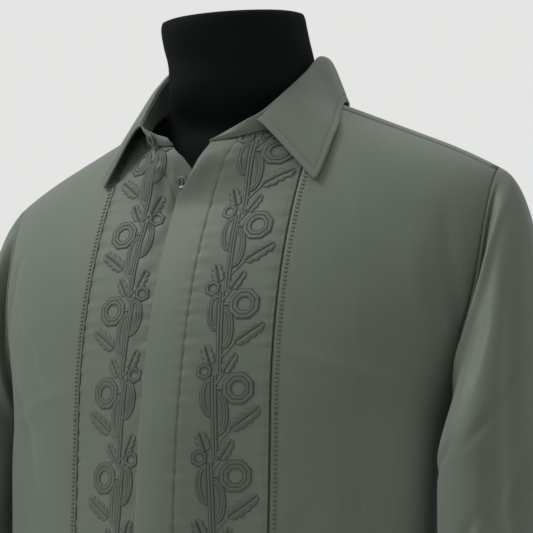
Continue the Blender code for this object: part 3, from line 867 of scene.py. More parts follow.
    def armhole_point(self, side: int, angle: float) -> Vector:
        """A point of the armhole seam: 0 is the shoulder point, 90 the front, 180 the underarm."""
        level = (1 + math.cos(math.radians(angle))) / 2
        back = angle > 180
        return self.point(side, self.armhole_around(level, back), level)


@dataclass(frozen=True)
class Opening:
    """The outer layer's edge at the V: how far back it stands, and how far off it gapes."""

    height: float
    back: float
    gape: float


LEFT_OPENING = table(
    Opening,
    (690, 0.0, 0.0), (712, 0.0, 0.9), (721, 2.2, 2.0), (730, 3.4, 3.2), (739, 7.0, 4.2),
    (748, 8.0, 4.0), (756, 4.5, 1.6), (763, 0.0, 0.0),
)
RIGHT_OPENING = (Opening(690, 0.0, 0.0), Opening(763, 0.0, 0.0))


@dataclass(frozen=True)
class Ripple:
    """A row of puckers up a seam: size, turns to a millimetre, start, and how its pace wanders."""

    size: float
    pace: float
    start: float
    wander: float = 0.0
    wander_pace: float = 0.0

    def at(self, z: float) -> float:
        """Its push at a height in millimetres."""
        wander = self.wander * math.sin(z * self.wander_pace)
        return self.size * math.sin(z * self.pace + self.start + wander)


PLACKET_RIPPLES = table(
    Ripple,
    (1.0, 0.61, 0.0, 1.3, 0.071), (0.8, 0.37, 2.1, 1.7, 0.043), (0.5, 0.71, 0.7),
)
SEAM_RIPPLES = (Ripple(1.0, 0.47, 0.6, 1.5, 0.061), Ripple(0.7, 0.83, 0.0))


@dataclass
class PanelPattern:
    """The embroidered panel of a front, with its seams, its stitching's grooves and its puckers."""

    side: Side
    body: BodyShape
    edge: float = 0.088
    placket: float = 0.034
    lap: float = 0.017
    seam_gap: float = 0.0003
    neck_drop_level: float = 0.833
    shoulder_seam_level: float = 0.983
    neck_half_width: float = 0.077
    neck_back: float = 0.047
    neck_side: float = -0.009
    left_corner: float = 0.009
    right_corner: float = -0.026
    underlap: float = 0.0044
    underlap_at_v: float = 0.0066
    groove_depth: float = 0.00055
    groove_width: float = 0.0011
    fell_width: float = 0.0033
    groove_shares: tuple[float, float, float] = (0.8, 0.5, 1.0)
    neck_steps: int = 18
    neck_crowding: float = 1.6
    underlap_from: float = 0.650
    underlap_over: float = 0.060
    underlap_end: float = 0.738
    underlap_end_share: float = 0.75
    underlap_fade: float = 0.024
    slant_lean: float = 0.8
    slant_ripple: tuple[float, float, float] = (0.29, 0.9, 0.05)
    pucker: float = 0.00060
    ripple_share: float = 0.55
    slant_share: float = 0.5
    slant_place: Flat = (0.010, 0.012)
    pucker_outside: float = 0.009
    pucker_inside: float = 0.004
    pucker_seam: float = 0.010
    gape_width: float = 0.016
    edges: Curve = curve(FRONT_EDGES)

    def __post_init__(self) -> None:
        """Reads how this side's outer layer stands open at the V."""
        self.opening = Curve(LEFT_OPENING if self.side is Side.LEFT else RIGHT_OPENING)

    @property
    def corner(self) -> float:
        """How far across the front's neck corner is."""
        return self.left_corner if self.side is Side.LEFT else self.right_corner

    def neck_edge(self, level: float) -> float:
        """How far across the neck seam is at a level."""
        reach = self.shoulder_seam_level - self.neck_drop_level
        share = (self.shoulder_seam_level - level) / reach
        far = self.side.value * self.neck_half_width
        return self.corner + (far - self.corner) * math.sqrt(max(1 - share * share, 0.0))

    def inner_edge(self, level: float) -> float:
        """How far across the panel's inner edge is, at the placket or at the neck."""
        if level >= self.neck_drop_level:
            return self.neck_edge(level)
        height = self.body.point(self.side.value, 0, level).z / MM
        return self.edges.at(height, "left" if self.side is Side.LEFT else "right") * MM

    def outer_edge(self) -> float:
        """How far across the panel's outer seam is."""
        return self.side.value * (self.edge - self.seam_gap / 2)

    def placket_line(self, level: float) -> float:
        """How far across the placket's stitching is."""
        inner = self.inner_edge(level)
        width = abs(self.outer_edge() - inner)
        return inner + self.side.value * self.placket * min(1.0, width / (self.edge + self.lap))

    def underlap_drop(self, x: float, height: float) -> float:
        """How far in the right front lies, where the left laps over it."""
        if self.side is Side.LEFT:
            return 0.0
        opening = ease((height - self.underlap_from) / self.underlap_over)
        depth = self.underlap + (self.underlap_at_v - self.underlap) * opening
        end = ease((height - self.underlap_end) / self.underlap_fade)
        depth *= 1 - self.underlap_end_share * end
        return depth * (1 - ease((-x - self.lap) / self.underlap_fade))

    def relief(self, x: float, height: float, line: float) -> float:
        """Grooves under the stitching and the puckers beside it.

        Args:
            x: the place across.
            height: its height.
            line: where the placket's stitching is at that height.

        Returns:
            How far the cloth stands out, negative in a groove.
        """
        sign = self.side.value
        beyond = (x - line) * sign
        fell = self.edge - self.fell_width - abs(x)
        total = 0.0
        for distance, share in zip((beyond, fell, self.edge - abs(x)), self.groove_shares):
            total -= share * self.groove_depth * bell(distance, self.groove_width)
        z = height / MM
        waves = sum(ripple.at(z) for ripple in PLACKET_RIPPLES)
        reach = self.pucker_outside if beyond > 0 else self.pucker_inside
        total += self.pucker * self.ripple_share * waves * math.exp(-abs(beyond) / reach)
        pace, wander, wander_pace = self.slant_ripple
        leaned = z + beyond / MM * self.slant_lean
        slant = math.sin(leaned * pace + wander * math.sin(z * wander_pace))
        middle, width = self.slant_place
        total += self.pucker * self.slant_share * slant * bell(beyond - middle, width)
        waves = sum(ripple.at(z) for ripple in SEAM_RIPPLES)
        total += self.pucker * self.ripple_share * waves * math.exp(-abs(fell) / self.pucker_seam)
        return total

    def place(self, x: float, level: float, out: float = 0.0) -> Vector:
        """A point of the panel.

        Args:
            x: the distance across.
            level: the body's level.
            out: how far out from the cloth's face.

        Returns:
            The point, with grooves and puckers.
        """
        here = 1 if x >= 0 else -1
        around = self.body.around_at(x, level)
        height = self.body.point(here, around, level).z
        shift = self.relief(x, height, self.placket_line(level)) - self.underlap_drop(x, height)
        return self.body.offset(here, around, level, shift + out)

    def levels(self, fine: float) -> list[float]:
        """Levels from the hem to the shoulder seam, about a step apart.

        Args:
            fine: the step in metres.

        Returns:
            The levels, with one at the neck's front corner.
        """
        made = self.body.low_levels(round((self.body.armhole_base - self.body.hem) / fine))
        rise = self.body.neck_point - self.body.armhole_base
        count = round(rise * self.neck_drop_level / fine)
        made += [self.neck_drop_level * (i + 1) / count for i in range(count)]
        reach = self.shoulder_seam_level - self.neck_drop_level
        for t in spaced(self.neck_steps)[1:]:
            made.append(self.neck_drop_level + reach * (1 - (1 - t) ** self.neck_crowding))
        return made

    def rows(self, fine: float, inner_steps: int, outer_steps: int) -> list[Row]:
        """The panel's points.

        Args:
            fine: the step up the cloth.
            inner_steps: how many steps cross the placket.
            outer_steps: how many cross the embroidered part.

        Returns:
            Rows from the hem up.
        """
        near = [0.0, 0.03] + [t for t in spaced(inner_steps) if 0.05 < t < 0.93] + [0.94, 0.97, 1.0]
        far = [0.015, 0.035, 0.07] + [t for t in spaced(outer_steps) if 0.08 < t < 0.9]
        far += [0.915, 0.935, 0.95, 0.97, 0.985, 1.0]
        rows = []
        for level in self.levels(fine):
            line, seam = self.placket_line(level), self.outer_edge()
            height = self.body.point(self.side.value, 0, level).z / MM
            inner = self.inner_edge(level) + self.opening.at(height, "back") * MM
            gape = self.opening.at(height, "gape") * MM
            places = [inner + (line - inner) * t for t in near]
            places += [line + (seam - line) * t for t in far]
            row = []
            for x in places:
                off = gape * bell(x - inner, self.gape_width)
                row.append(self.place(x, level, off))
            rows.append(row)
        return rows

    def fly_rows(self, drop: float, levels: Sequence[float]) -> list[Row]:
        """The inner layer of the placket."""
        rows = []
        for level in levels:
            inner, line = self.inner_edge(level), self.placket_line(level)
            rows.append([self.place(inner + (line - inner) * t, level, -drop) for t in spaced(8)])
        return rows


@dataclass
class Bodice:
    """The fronts, the back and the yoke."""

    body: BodyShape
    panels: dict[Side, PanelPattern]
    cloth: float = 0.0011
    seam_gap: float = 0.0003
    fine: float = 0.0032
    yoke_level: float = 0.629
    yoke_half_width: float = 0.228
    yoke_seam_gap: float = 0.0014
    fly_drop: float = 0.0016
    centre: Vector = spot(0, 0, 0.45)
    panel_steps: tuple[int, int] = (14, 26)
    back_steps: int = 56
    back_spread: float = 0.92
    back_levels: tuple[int, int] = (110, 38)
    back_clear: float = 0.0015
    yoke_steps: int = 44
    shoulder_steps: int = 22
    neck_steps: int = 26

    def side_front_rows(self, side: Side) -> list[Row]:
        """The front from the panel's seam to the side seam and the armhole."""
        panel = self.panels[side]
        rows = []
        for level in panel.levels(self.fine * 1.2):
            start = self.body.around_at(panel.edge + self.seam_gap / 2, level)
            end = self.body.edge_around(level, False, self.seam_gap)
            shares = [0.0, 0.012] + spaced(40)[1:]
            row = []
            for share in shares:
                point = self.body.point(side.value, start + (end - start) * share, level)
                if share < 0.03:
                    normal = self.body.normal(side.value, start + (end - start) * share, level)
                    point = point - normal * panel.groove_depth * (1 - share / 0.03)
                row.append(point)
            rows.append(row)
        return rows

    def back_rows(self) -> list[Row]:
        """The back below the yoke."""
        body = self.body
        rows = []
        low, high = self.back_levels
        top = self.yoke_level - self.back_clear
        levels = body.low_levels(low) + [top * (i + 1) / high for i in range(high)]
        half = self.back_steps
        for level in levels:
            width = 180 - body.edge_around(level, True, self.seam_gap)
            row = []
            for j in range(-half, half + 1):
                around = 180 - width * (abs(j) / half) ** self.back_spread
                row.append(body.point(1 if j >= 0 else -1, around, level))
            rows.append(row)
        return rows

    def depth_share(self, x: float, y: float) -> float:
        """The share of the full depth at a place on the shoulders, seen from above."""
        back = y > 0
        top = BODY_SECTIONS[-1]
        power = self.body.back_squareness if back else self.body.front_squareness
        across = max(1 - (abs(x) / (top.half_width * MM)) ** power, 0.0) ** (1 / power)
        return y / ((top.back if back else top.front) * MM * across)

    def shoulder_point(self, x: float, share: float) -> Vector:
        """A point of the shoulders from its place across and its share of the depth."""
        back = share > 0
        level = self.body.level_at_depth(share, back)
        around = self.body.around_at(x, level, back)
        return self.body.point(1 if x >= 0 else -1, around, level)

    def yoke_rows(self) -> list[Row]:
        """The yoke, from the front shoulder seams and the neck to the back seam."""
        body, panel = self.body, self.panels[Side.LEFT]
        first = self.yoke_seam_gap / (BODY_SECTIONS[-1].front * MM)
        first -= body.depth_at(panel.shoulder_seam_level, False)
        last = body.depth_at(self.yoke_level, True)
        steps = spaced(self.yoke_steps)
        shares = [first + (last - first) * (0.6 * t + 0.4 * t * t) for t in steps]
        starts = []
        for t in spaced(self.shoulder_steps):
            x = 1 - (1 - panel.neck_half_width / self.yoke_half_width) * t
            starts.append((x, first, 1 - 0.5 * t))
        for t in spaced(self.neck_steps)[1:]:
            angle = math.radians(90 * t)
            x = panel.neck_half_width * math.cos(angle)
            y = panel.neck_side + (panel.neck_back - panel.neck_side) * math.sin(angle)
            starts.append((x / self.yoke_half_width, self.depth_share(x, y), 0.5 * (1 - t)))
        rows = []
        for outer in shares:
            down = (outer - first) / (last - first)
            half = []
            for across_start, share_start, across_end in starts:
                share = share_start + (last - share_start) * down
                back = share > 0
                level = body.level_at_depth(share, back)
                edge = body.armhole_around(level, back)
                gap = body.armhole_gap(level, self.seam_gap)
                edge += gap if back else -gap
                reach = body.point(1, edge, level).x
                across = across_start + (across_end - across_start) * ease(down) ** 0.8
                half.append(self.shoulder_point(reach * across, share))
            rows.append(half + [Vector((-p.x, p.y, p.z)) for p in reversed(half[:-1])])
        return rows

    def build(self, wardrobe: Wardrobe) -> None:
        """Builds and dresses the pieces."""
        for side, panel in self.panels.items():
            rows = panel.rows(self.fine * 0.8, *self.panel_steps)
            self.add(f"cloth_panel_{side.word}", rows, wardrobe, f"panel_{side.word}")
            rows = self.side_front_rows(side)
            self.add(f"cloth_front_{side.word}", rows, wardrobe, f"front_{side.word}")
        left = self.panels[Side.LEFT]
        levels = [level for level in left.levels(self.fine * 2) if level <= left.neck_drop_level]
        self.add("cloth_fly", left.fly_rows(self.fly_drop, levels), wardrobe, "fly_left")
        self.add("cloth_back", self.back_rows(), wardrobe, "back")
        self.add("cloth_yoke", self.yoke_rows(), wardrobe, "yoke")

    def add(self, name: str, rows: list[Row], wardrobe: Wardrobe, node: str) -> None:
        """Adds one sheet of cloth."""
        obj = cloth_sheet(name, rows, self.cloth, self.centre)
        finish_piece(obj, wardrobe.cloth, "shirt_cloth", node)
        LOG.info("%s: %d points", name, len(rows) * len(rows[0]))


# Sleeves


@dataclass(frozen=True)
class Ring:
    """A ring of a sleeve, keyed by its depth below the neck point: centre and half sizes."""

    below: float
    across: float
    forward: float
    half_x: float
    half_y: float


@dataclass(frozen=True)
class Pull:
    """How the sleeve leaves the armhole: direction and how far it holds it at each end."""

    angle: float
    out: float
    forward: float
    down: float
    length: float
    end_length: float


@dataclass(frozen=True)
class HeadFold:
    """The fold that falls beside the armhole seam, keyed by angle: trough, crest and overlap."""

    angle: float
    trough: float
    crest: float
    lap: float


@dataclass(frozen=True)
class SleeveFold:
    """A soft fold down a sleeve: angle from the outer side by the front, heights, depth, lean."""

    angle: float
    spread: float
    top: float
    bottom: float
    depth: float
    lean: float


SLEEVE_RINGS = table(
    Ring,
    (300, 232, -13, 36, 75), (380, 234, -14, 37, 76), (460, 235, -18, 37, 74),
    (540, 235, -22, 36, 71), (595, 234, -26, 35, 67), (617, 233, -27, 33, 59),
    (631.7, 232, -28, 30, 46),
)
CUFF_RINGS = table(
    Ring,
    (632, 232, -28, 30, 46), (700, 231, -30, 31, 47),
)
SLEEVE_HEAD = table(
    Pull,
    (0, 0.88, 0.00, 0.47, 125, 130), (90, 0.62, 0.30, 0.66, 88, 120),
    (180, 0.30, 0.00, 0.95, 20, 22), (270, 0.60, -0.45, 0.66, 88, 120),
    (360, 0.88, 0.00, 0.47, 125, 130),
)
HEAD_FOLDS = table(
    HeadFold,
    (0, 0.0, 0.0, 0.0), (24, -0.8, 0.5, 0.0), (48, -5.2, 3.4, 2.4), (80, -8.0, 4.6, 3.6),
    (110, -6.6, 4.0, 3.4), (145, -2.2, 1.2, 1.2), (180, 0.0, 0.0, 0.0), (225, -1.4, 0.9, 0.8),
    (270, -3.4, 2.4, 2.2), (310, -2.2, 1.8, 1.4), (336, -0.4, 0.2, 0.0), (360, 0.0, 0.0, 0.0),
)
SLEEVE_FOLDS = table(
    SleeveFold,
    (42, 11, 690, 330, -3.5, -14), (68, 9, 520, 210, 3.0, 10), (20, 12, 560, 250, -3.0, 22),
    (158, 16, 600, 190, -6.0, 0), (318, 12, 680, 300, -4.0, 12), (290, 9, 420, 175, 3.5, -10),
    (250, 9, 300, 170, -5.0, 0), (228, 8, 280, 170, -4.5, 0),
)
SLEEVE_CREASES = table(
    Crease,
    (0, 22, 580, 78, 518, 5, -2.6, 3), (0, 100, 512, 134, 492, 6, -2.2, 2),
    (0, 62, 690, 100, 600, 9, 2.2, 4), (0, 60, 470, 92, 430, 7, -1.8, -3),
    (0, 12, 520, 50, 450, 9, -1.6, 4), (0, 74, 610, 90, 560, 7, -1.4, 0),
    (0, 40, 360, 88, 330, 8, -2.0, 4), (0, 10, 330, 60, 285, 8, -1.8, -4),
    (0, 20, 250, 70, 225, 7, -1.4, 3), (0, 300, 540, 345, 470, 9, -2.0, 5),
    (0, 275, 450, 330, 400, 8, -1.8, -4), (0, 290, 330, 350, 290, 8, -1.9, 4),
    (0, 120, 420, 200, 380, 9, -1.6, 3), (0, 200, 330, 265, 300, 8, -1.6, -3),
)


@dataclass
class Sleeve:
    """A one-piece sleeve."""

    side: Side
    body: BodyShape
    cloth: float = 0.0011
    squareness: float = 2.3
    bicep: float = 0.500
    neck_point: float = 0.800
    gap: float = 0.0003
    sides: int = 112
    head_steps: int = 44
    head_crowding: float = 1.4
    trough_reach: float = 0.008
    trough_width: float = 0.0055
    crest_reach: float = 0.020
    crest_width: float = 0.0075
    turn_right: float = 6.0
    crease_per_degree: float = 1.1
    rings: Curve = curve(SLEEVE_RINGS)
    head: Curve = curve(SLEEVE_HEAD)
    head_folds: Curve = curve(HEAD_FOLDS)

    def push(self, angle: float, height: float) -> float:
        """How far folds and creases push the cloth out."""
        turn = self.turn_right if self.side is Side.RIGHT else 0.0
        total = 0.0
        for fold in SLEEVE_FOLDS:
            down = (fold.top * MM - height) / ((fold.top - fold.bottom) * MM)
            if not 0 < down < 1:
                continue
            apart = (angle - fold.angle - fold.lean * down - turn + 180) % 360 - 180
            if abs(apart) > 4 * fold.spread:
                continue
            depth = fold.depth * MM * ease(down / 0.3) * ease((1 - down) / 0.25)
            total += depth * bell(apart, fold.spread)
        for crease in SLEEVE_CREASES:
            total += crease.at(1, angle - turn, height / MM, self.crease_per_degree) * MM
        return total

    def head_fold(self, angle: float, reach: float, out: Vector) -> Vector:
        """How the fold beside the armhole moves the cloth at a distance from the seam."""
        fold = {name: self.head_folds.at(angle, name) * MM for name in self.head_folds.columns}
        trough = bell(reach - self.trough_reach, self.trough_width)
        crest = bell(reach - self.crest_reach, self.crest_width)
        seam = ease(reach / self.trough_reach)
        move = out * (fold["trough"] * trough + fold["crest"] * crest)
        return (move - Vector((self.side.value, 0, 0)) * (fold["lap"] * crest)) * seam

    def ring_point(self, curve: Curve, height: float, angle: float, out: float) -> Vector:
        """A point of a ring: 0 is the outer side, 90 the front."""
        below = (self.neck_point - height) / MM
        turn = math.radians(angle)
        power = 2 / self.squareness
        cosine, sine = math.cos(turn), math.sin(turn)
        x = math.copysign(abs(cosine) ** power, cosine) * (curve.at(below, "half_x") * MM + out)
        y = math.copysign(abs(sine) ** power, sine) * (curve.at(below, "half_y") * MM + out)
        x += curve.at(below, "across") * MM
        return Vector((self.side.value * x, curve.at(below, "forward") * MM - y, height))

    def rows(self) -> list[Row]:
        """The sleeve from the armhole over its head and down to the cuff."""
        sign = self.side.value
        angles = [360 * j / self.sides for j in range(self.sides)]
        rows = []
        for even in spaced(self.head_steps):
            t = even**self.head_crowding
            row = []
            for angle in angles:
                pull = {name: self.head.at(angle, name) for name in self.head.columns}
                start = self.body.armhole_point(sign, angle)
                aim = Vector((sign * pull["out"], -pull["forward"], -pull["down"])).normalized()
                start = start + aim * self.gap
                end = self.ring_point(self.rings, self.bicep, angle, 0.0)
                point = (
                    start * (2 * t**3 - 3 * t**2 + 1)
                    + aim * (pull["length"] * MM * (t**3 - 2 * t**2 + t))
                    + end * (3 * t**2 - 2 * t**3)
                    - UP * (pull["end_length"] * MM * (t**3 - t**2))
                )
                turn = math.radians(angle)
                out = Vector((sign * math.cos(turn), -math.sin(turn), 0))
                folded = self.head_fold(angle, (point - start).length, out)
                row.append(point + out * self.push(angle, point.z) * ease(t * 3) + folded)
            rows.append(row)
        bottom = self.neck_point - SLEEVE_RINGS[-1].below * MM
        for t in spaced(72)[1:]:
            height = self.bicep + (bottom - self.bicep) * t
            rows.append(
                [self.ring_point(self.rings, height, a, self.push(a, height)) for a in angles]
            )
        return rows

    def build(self, wardrobe: Wardrobe) -> None:
        """Builds and dresses the sleeve."""
        rows = self.rows()
        arm = Vector((self.side.value * 0.23, -0.02, 0.4))
        obj = cloth_sheet(f"cloth_sleeve_{self.side.word}", rows, self.cloth, arm, closed=True)
        finish_piece(obj, wardrobe.cloth, "shirt_cloth", f"sleeve_{self.side.word}")


@dataclass
class Cuff:
    """A cuff: a band that laps over its own end."""

    sleeve: Sleeve
    cloth: float = 0.0012
    top: float = 0.168
    bottom: float = 0.100
    lap: float = 26.0
    start: float = 300.0
    steps: int = 26
    layer_gap: float = 0.0004
    groove: float = 0.0004
    groove_width: float = 0.0011
    topstitch: float = 0.006
    rings: Curve = curve(CUFF_RINGS)

    def point(self, height: float, step: float, out: float = 0.0) -> Vector:
        """A point of the outer face. The first stretch lies under the cuff's own end."""
        turn = (360 + self.lap) * step / self.steps
        under = 1 - ease((turn - self.lap) / 22)
        drop = (self.cloth + 2 * self.layer_gap) * under
        edge = min(self.top - height, height - self.bottom) - self.topstitch
        groove = self.groove * bell(edge, self.groove_width)
        return self.sleeve.ring_point(self.rings, height, self.start + turn, out - drop - groove)

    def rows(self) -> list[Row]:
        """The cuff's points from its top edge down."""
        near = [0.0, 0.02, 0.06, 0.075, 0.088, 0.1, 0.115, 0.15]
        shares = near + [0.2 + 0.05 * i for i in range(13)] + [1 - t for t in reversed(near)]
        heights = [self.top + (self.bottom - self.top) * t for t in shares]
        return [[self.point(height, self.steps * t) for t in spaced(130)] for height in heights]

    def build(self, wardrobe: Wardrobe) -> None:
        """Builds and dresses the cuff."""
        side = self.sleeve.side
        rows = self.rows()
        centre = Vector((side.value * 0.231, -0.029, 0.134))
        obj = cloth_sheet(f"cloth_cuff_{side.word}", rows, self.cloth, centre)
        finish_piece(obj, wardrobe.cloth, "shirt_cloth", f"cuff_{side.word}")


# Collar


@dataclass(frozen=True)
class CollarRow:
    """The collar from a front end (0) to the centre back (1): roll line and outer edge."""

    share: float
    roll_x: float
    roll_y: float
    roll_z: float
    edge_x: float
    edge_y: float
    edge_z: float


COLLAR_LEFT = table(
    CollarRow,
    (0.00, 12, -81, 766, 60, -84, 724), (0.17, 38, -76, 779.5, 103, -76, 725),
    (0.26, 49, -69, 787, 106.3, -63, 744.5), (0.36, 60, -50, 804, 106, -46, 768),
    (0.46, 68, -28, 824, 98.7, -24, 787.2), (0.58, 70.5, -8, 840, 90.7, -3, 800.9),
    (0.70, 64, 18, 842, 82, 22, 806), (0.84, 42, 42, 839, 58, 54, 802),
    (1.00, 0, 52, 837, 0, 70, 797),
)
COLLAR_RIGHT = table(
    CollarRow,
    (0.00, -30, -81, 768, -76, -84, 728), (0.17, -59, -77, 780.5, -98.2, -72.1, 733.6),
    (0.26, -63, -66, 791, -105.5, -60.9, 749), (0.36, -67, -50, 805, -104.5, -45.4, 767.2),
    (0.46, -71, -28, 825, -99.2, -24, 786.8), (0.58, -70.5, -8, 840, -90.7, -3, 800.9),
    (0.70, -64, 18, 842, -82, 22, 806), (0.84, -42, 42, 839, -58, 54, 802),
    (1.00, 0, 52, 837, 0, 70, 797),
)


@dataclass(frozen=True)
class CollarTurn:
    """How the fall turns over at a place along the collar, in millimetres.

    dip is how far the stand's top lies under the roll line, ahead is how much further along the
    fall starts, sink is how far under the stand's top, and out and up are the reach of its turn.
    """

    share: float
    dip: float
    ahead: float
    sink: float
    out: float
    up: float


TURN_LEFT = table(
    CollarTurn,
    (0.00, 2.0, 0.065, 4.0, 3.5, 1.0), (0.17, 2.5, 0.065, 4.0, 3.5, 1.0),
    (0.26, 2.4, 0.030, 1.8, 3.5, 1.2), (0.36, 0.6, 0.000, -0.3, 3.5, 1.4),
    (0.60, 0.0, 0.000, -0.8, 3.5, 1.6), (1.00, 0.0, 0.000, -1.4, 5.0, 2.2),
)
TURN_RIGHT = table(
    CollarTurn,
    (0.00, 0.0, 0.000, -0.8, 6.0, 2.4), (0.17, 0.0, 0.000, -0.8, 6.0, 2.4),
    (0.60, 0.0, 0.000, -1.4, 6.0, 2.4), (1.00, 0.0, 0.000, -1.4, 5.0, 2.2),
)


@dataclass
class Collar:
    """The stand and the fall that turns over it."""

    bodice: Bodice
    cloth: float = 0.0015
    fall_start: float = 0.17
    stand_lift: float = 0.0004
    crispness: float = 2.0
    topstitch: float = 0.0062
    groove: float = 0.00035
    groove_width: float = 0.0011
    groove_reach: float = 0.003
    steps: int = 52
    curves: dict[Side, Curve] = field(
        default_factory=lambda: {Side.LEFT: Curve(COLLAR_LEFT), Side.RIGHT: Curve(COLLAR_RIGHT)}
    )
    turns: dict[Side, Curve] = field(
        default_factory=lambda: {Side.LEFT: Curve(TURN_LEFT), Side.RIGHT: Curve(TURN_RIGHT)}
    )

    def read(self, side: Side, share: float, prefix: str) -> Vector:
        """A point of the roll line or of the outer edge."""
        curve = self.curves[side]
        return Vector([curve.at(share, f"{prefix}_{axis}") for axis in "xyz"]) * MM

    def neck_point(self, side: Side, share: float) -> Vector:
        """A point of the neck seam: 0 is the front end and 1 the centre back."""
        panel = self.bodice.panels[side]
        body = self.bodice.body
        if share < 0.5:
            rise = math.cos(math.radians(180 * share))
            reach = panel.shoulder_seam_level - panel.neck_drop_level
            level = panel.shoulder_seam_level - reach * rise
            x = panel.neck_edge(level)
            return body.point(1 if x >= 0 else -1, body.around_at(x, level), level)
        angle = math.radians(180 * (share - 0.5))
        x = side.value * panel.neck_half_width * math.cos(angle)
        y = panel.neck_side + (panel.neck_back - panel.neck_side) * math.sin(angle)
        return self.bodice.shoulder_point(x, self.bodice.depth_share(x, y))

    def stand_point(self, side: Side, share: float, up: float) -> Vector:
        """A point of the stand's outer face, from the neck seam (0) to the roll line (1)."""
        low = self.neck_point(side, share) + UP * self.stand_lift
        high = self.read(side, share, "roll") - UP * self.turns[side].at(share, "dip") * MM
        swell = Vector((low.x, low.y, 0)).normalized() * 0.0015 * math.sin(math.pi * up)
        return low.lerp(high, up) + swell

    def fall_point(self, side: Side, share: float, down: float) -> Vector:
        """A point of the fall's outer face, from the roll line (0) to the outer edge (1)."""
        turn = self.turns[side]
        roll = self.read(side, share + turn.at(share, "ahead"), "roll")
        roll -= UP * (turn.at(share, "dip") + turn.at(share, "sink")) * MM
        edge = self.read(side, share, "edge")
        if down <= 0:
            return roll
        out = edge - roll
        out.z = 0
        top = roll + (out.normalized() * turn.at(share, "out") + UP * turn.at(share, "up")) * MM
        # A conic that leaves the roll towards the top of the turn and then runs straight down
        pull = 2 * self.crispness
        near = (1 - down) / (pull * down)
        return (roll * near**2 + top * (pull * near) + edge) / (near**2 + pull * near + 1)

    def places(self, shares: Sequence[float]) -> list[tuple[Side, float]]:
        """Places along the collar from the wearer's left end round to the right end."""
        left = [(Side.LEFT, share) for share in shares]
        return left + [(Side.RIGHT, share) for share in reversed(shares[:-1])]

    def fall_shares(self) -> list[float]:
        """Shares along half of the fall, closer together at its front edge."""
        near = [0.0, 0.008, 0.022, 0.036, 0.048, 0.06, 0.075]
        even = [t for t in spaced(self.steps) if t > 0.085]
        return [self.fall_start + (1 - self.fall_start) * t for t in near + even]

    def stand_rows(self) -> list[Row]:
        """The stand's points from the neck seam up."""
        shares = [0.0, 0.012, 0.03, 0.06, 0.09, 0.12, 0.145] + self.fall_shares()
        places = self.places(shares)
        return [[self.stand_point(side, share, t) for side, share in places] for t in spaced(14)]

    def fall_rows(self) -> list[Row]:
        """The fall's points from the roll line to its outer edge, grooved by the topstitching."""
        places = self.places(self.fall_shares())
        shares = [0.0, 0.006, 0.014, 0.024, 0.036] + spaced(20)[1:-4]
        shares += [0.825, 0.85, 0.872, 0.885, 0.9, 0.915, 0.94, 0.97, 1.0]
        rows = [[self.fall_point(side, share, t) for side, share in places] for t in shares]
        return self.grooved(rows)

    def grooved(self, rows: list[Row]) -> list[Row]:
        """Presses the topstitching's groove into the fall.

        Args:
            rows: the fall's points.

        Returns:
            The points moved in along the groove.
        """
        columns = len(rows[0])
        pressed = []
        for i, row in enumerate(rows):
            made = []
            for j, point in enumerate(row):
                from_edge = (point - rows[-1][j]).length
                from_left = (point - row[0]).length
                from_right = (point - row[-1]).length
                distances = (from_edge, from_left, from_right)
                near = min(abs(distance - self.topstitch) for distance in distances)
                inside = min(distances) > self.topstitch - self.groove_reach
                a, b = row[max(j - 1, 0)], row[min(j + 1, columns - 1)]
                c, d = rows[max(i - 1, 0)][j], rows[min(i + 1, len(rows) - 1)][j]
                normal = (b - a).cross(d - c).normalized()
                if normal.dot(Vector((point.x, point.y + 0.01, 0.02))) < 0:
                    normal = -normal
                depth = self.groove * bell(near, self.groove_width) if inside else 0.0
                made.append(point - normal * depth)
            pressed.append(made)
        return pressed

    def build(self, wardrobe: Wardrobe) -> None:
        """Builds and dresses the collar."""
        stand, fall = self.stand_rows(), self.fall_rows()
        obj = cloth_sheet("cloth_collar_stand", stand, self.cloth, Vector((0, -0.01, 0.8)))
        finish_piece(obj, wardrobe.cloth, "shirt_cloth", "collar_stand")
        obj = cloth_sheet("cloth_collar_fall", fall, self.cloth, Vector((0, -0.01, 0.78)))
        finish_piece(obj, wardrobe.cloth, "shirt_cloth", "collar_fall")


# The dress form


@dataclass(frozen=True)
class FormRing:
    """A horizontal section of the form: height, half sizes, squareness and how far forward."""

    height: float
    half_width: float
    front: float
    back: float
    squareness: float
    forward: float


FORM_RINGS = table(
    FormRing,
    (0, 146, 96, 92, 2.3, 0), (6, 152, 102, 98, 2.3, 0), (90, 162, 110, 106, 2.3, 0),
    (180, 156, 104, 100, 2.3, 0), (280, 146, 98, 93, 2.3, 0), (400, 154, 106, 98, 2.3, 0),
    (480, 164, 112, 103, 2.3, 0), (540, 170, 110, 106, 2.2, 0), (600, 186, 100, 106, 2.1, 0),
    (650, 203, 86, 101, 2.0, 0), (690, 213, 71, 95, 1.9, 0), (716, 215, 62, 88, 1.85, 0),
    (730, 213, 57, 82, 1.8, 0), (741, 208, 54, 77, 1.75, 0), (752, 194, 51, 72, 1.7, 0),
    (766, 162.5, 50, 66, 1.7, 0), (780, 129, 44, 58, 1.6, 2), (790, 94, 46, 50, 1.55, 5),
    (800, 70, 52, 50, 1.9, 8), (815, 64, 60, 53, 2.0, 11), (838, 61.5, 61.5, 60, 2.0, 15),
    (860, 60.5, 61, 61, 2.0, 25), (874, 60, 60.5, 60.5, 2.0, 30), (879.5, 58.5, 59, 59, 2.0, 31),
    (881, 54, 54.5, 54.5, 2.0, 31.5),
)


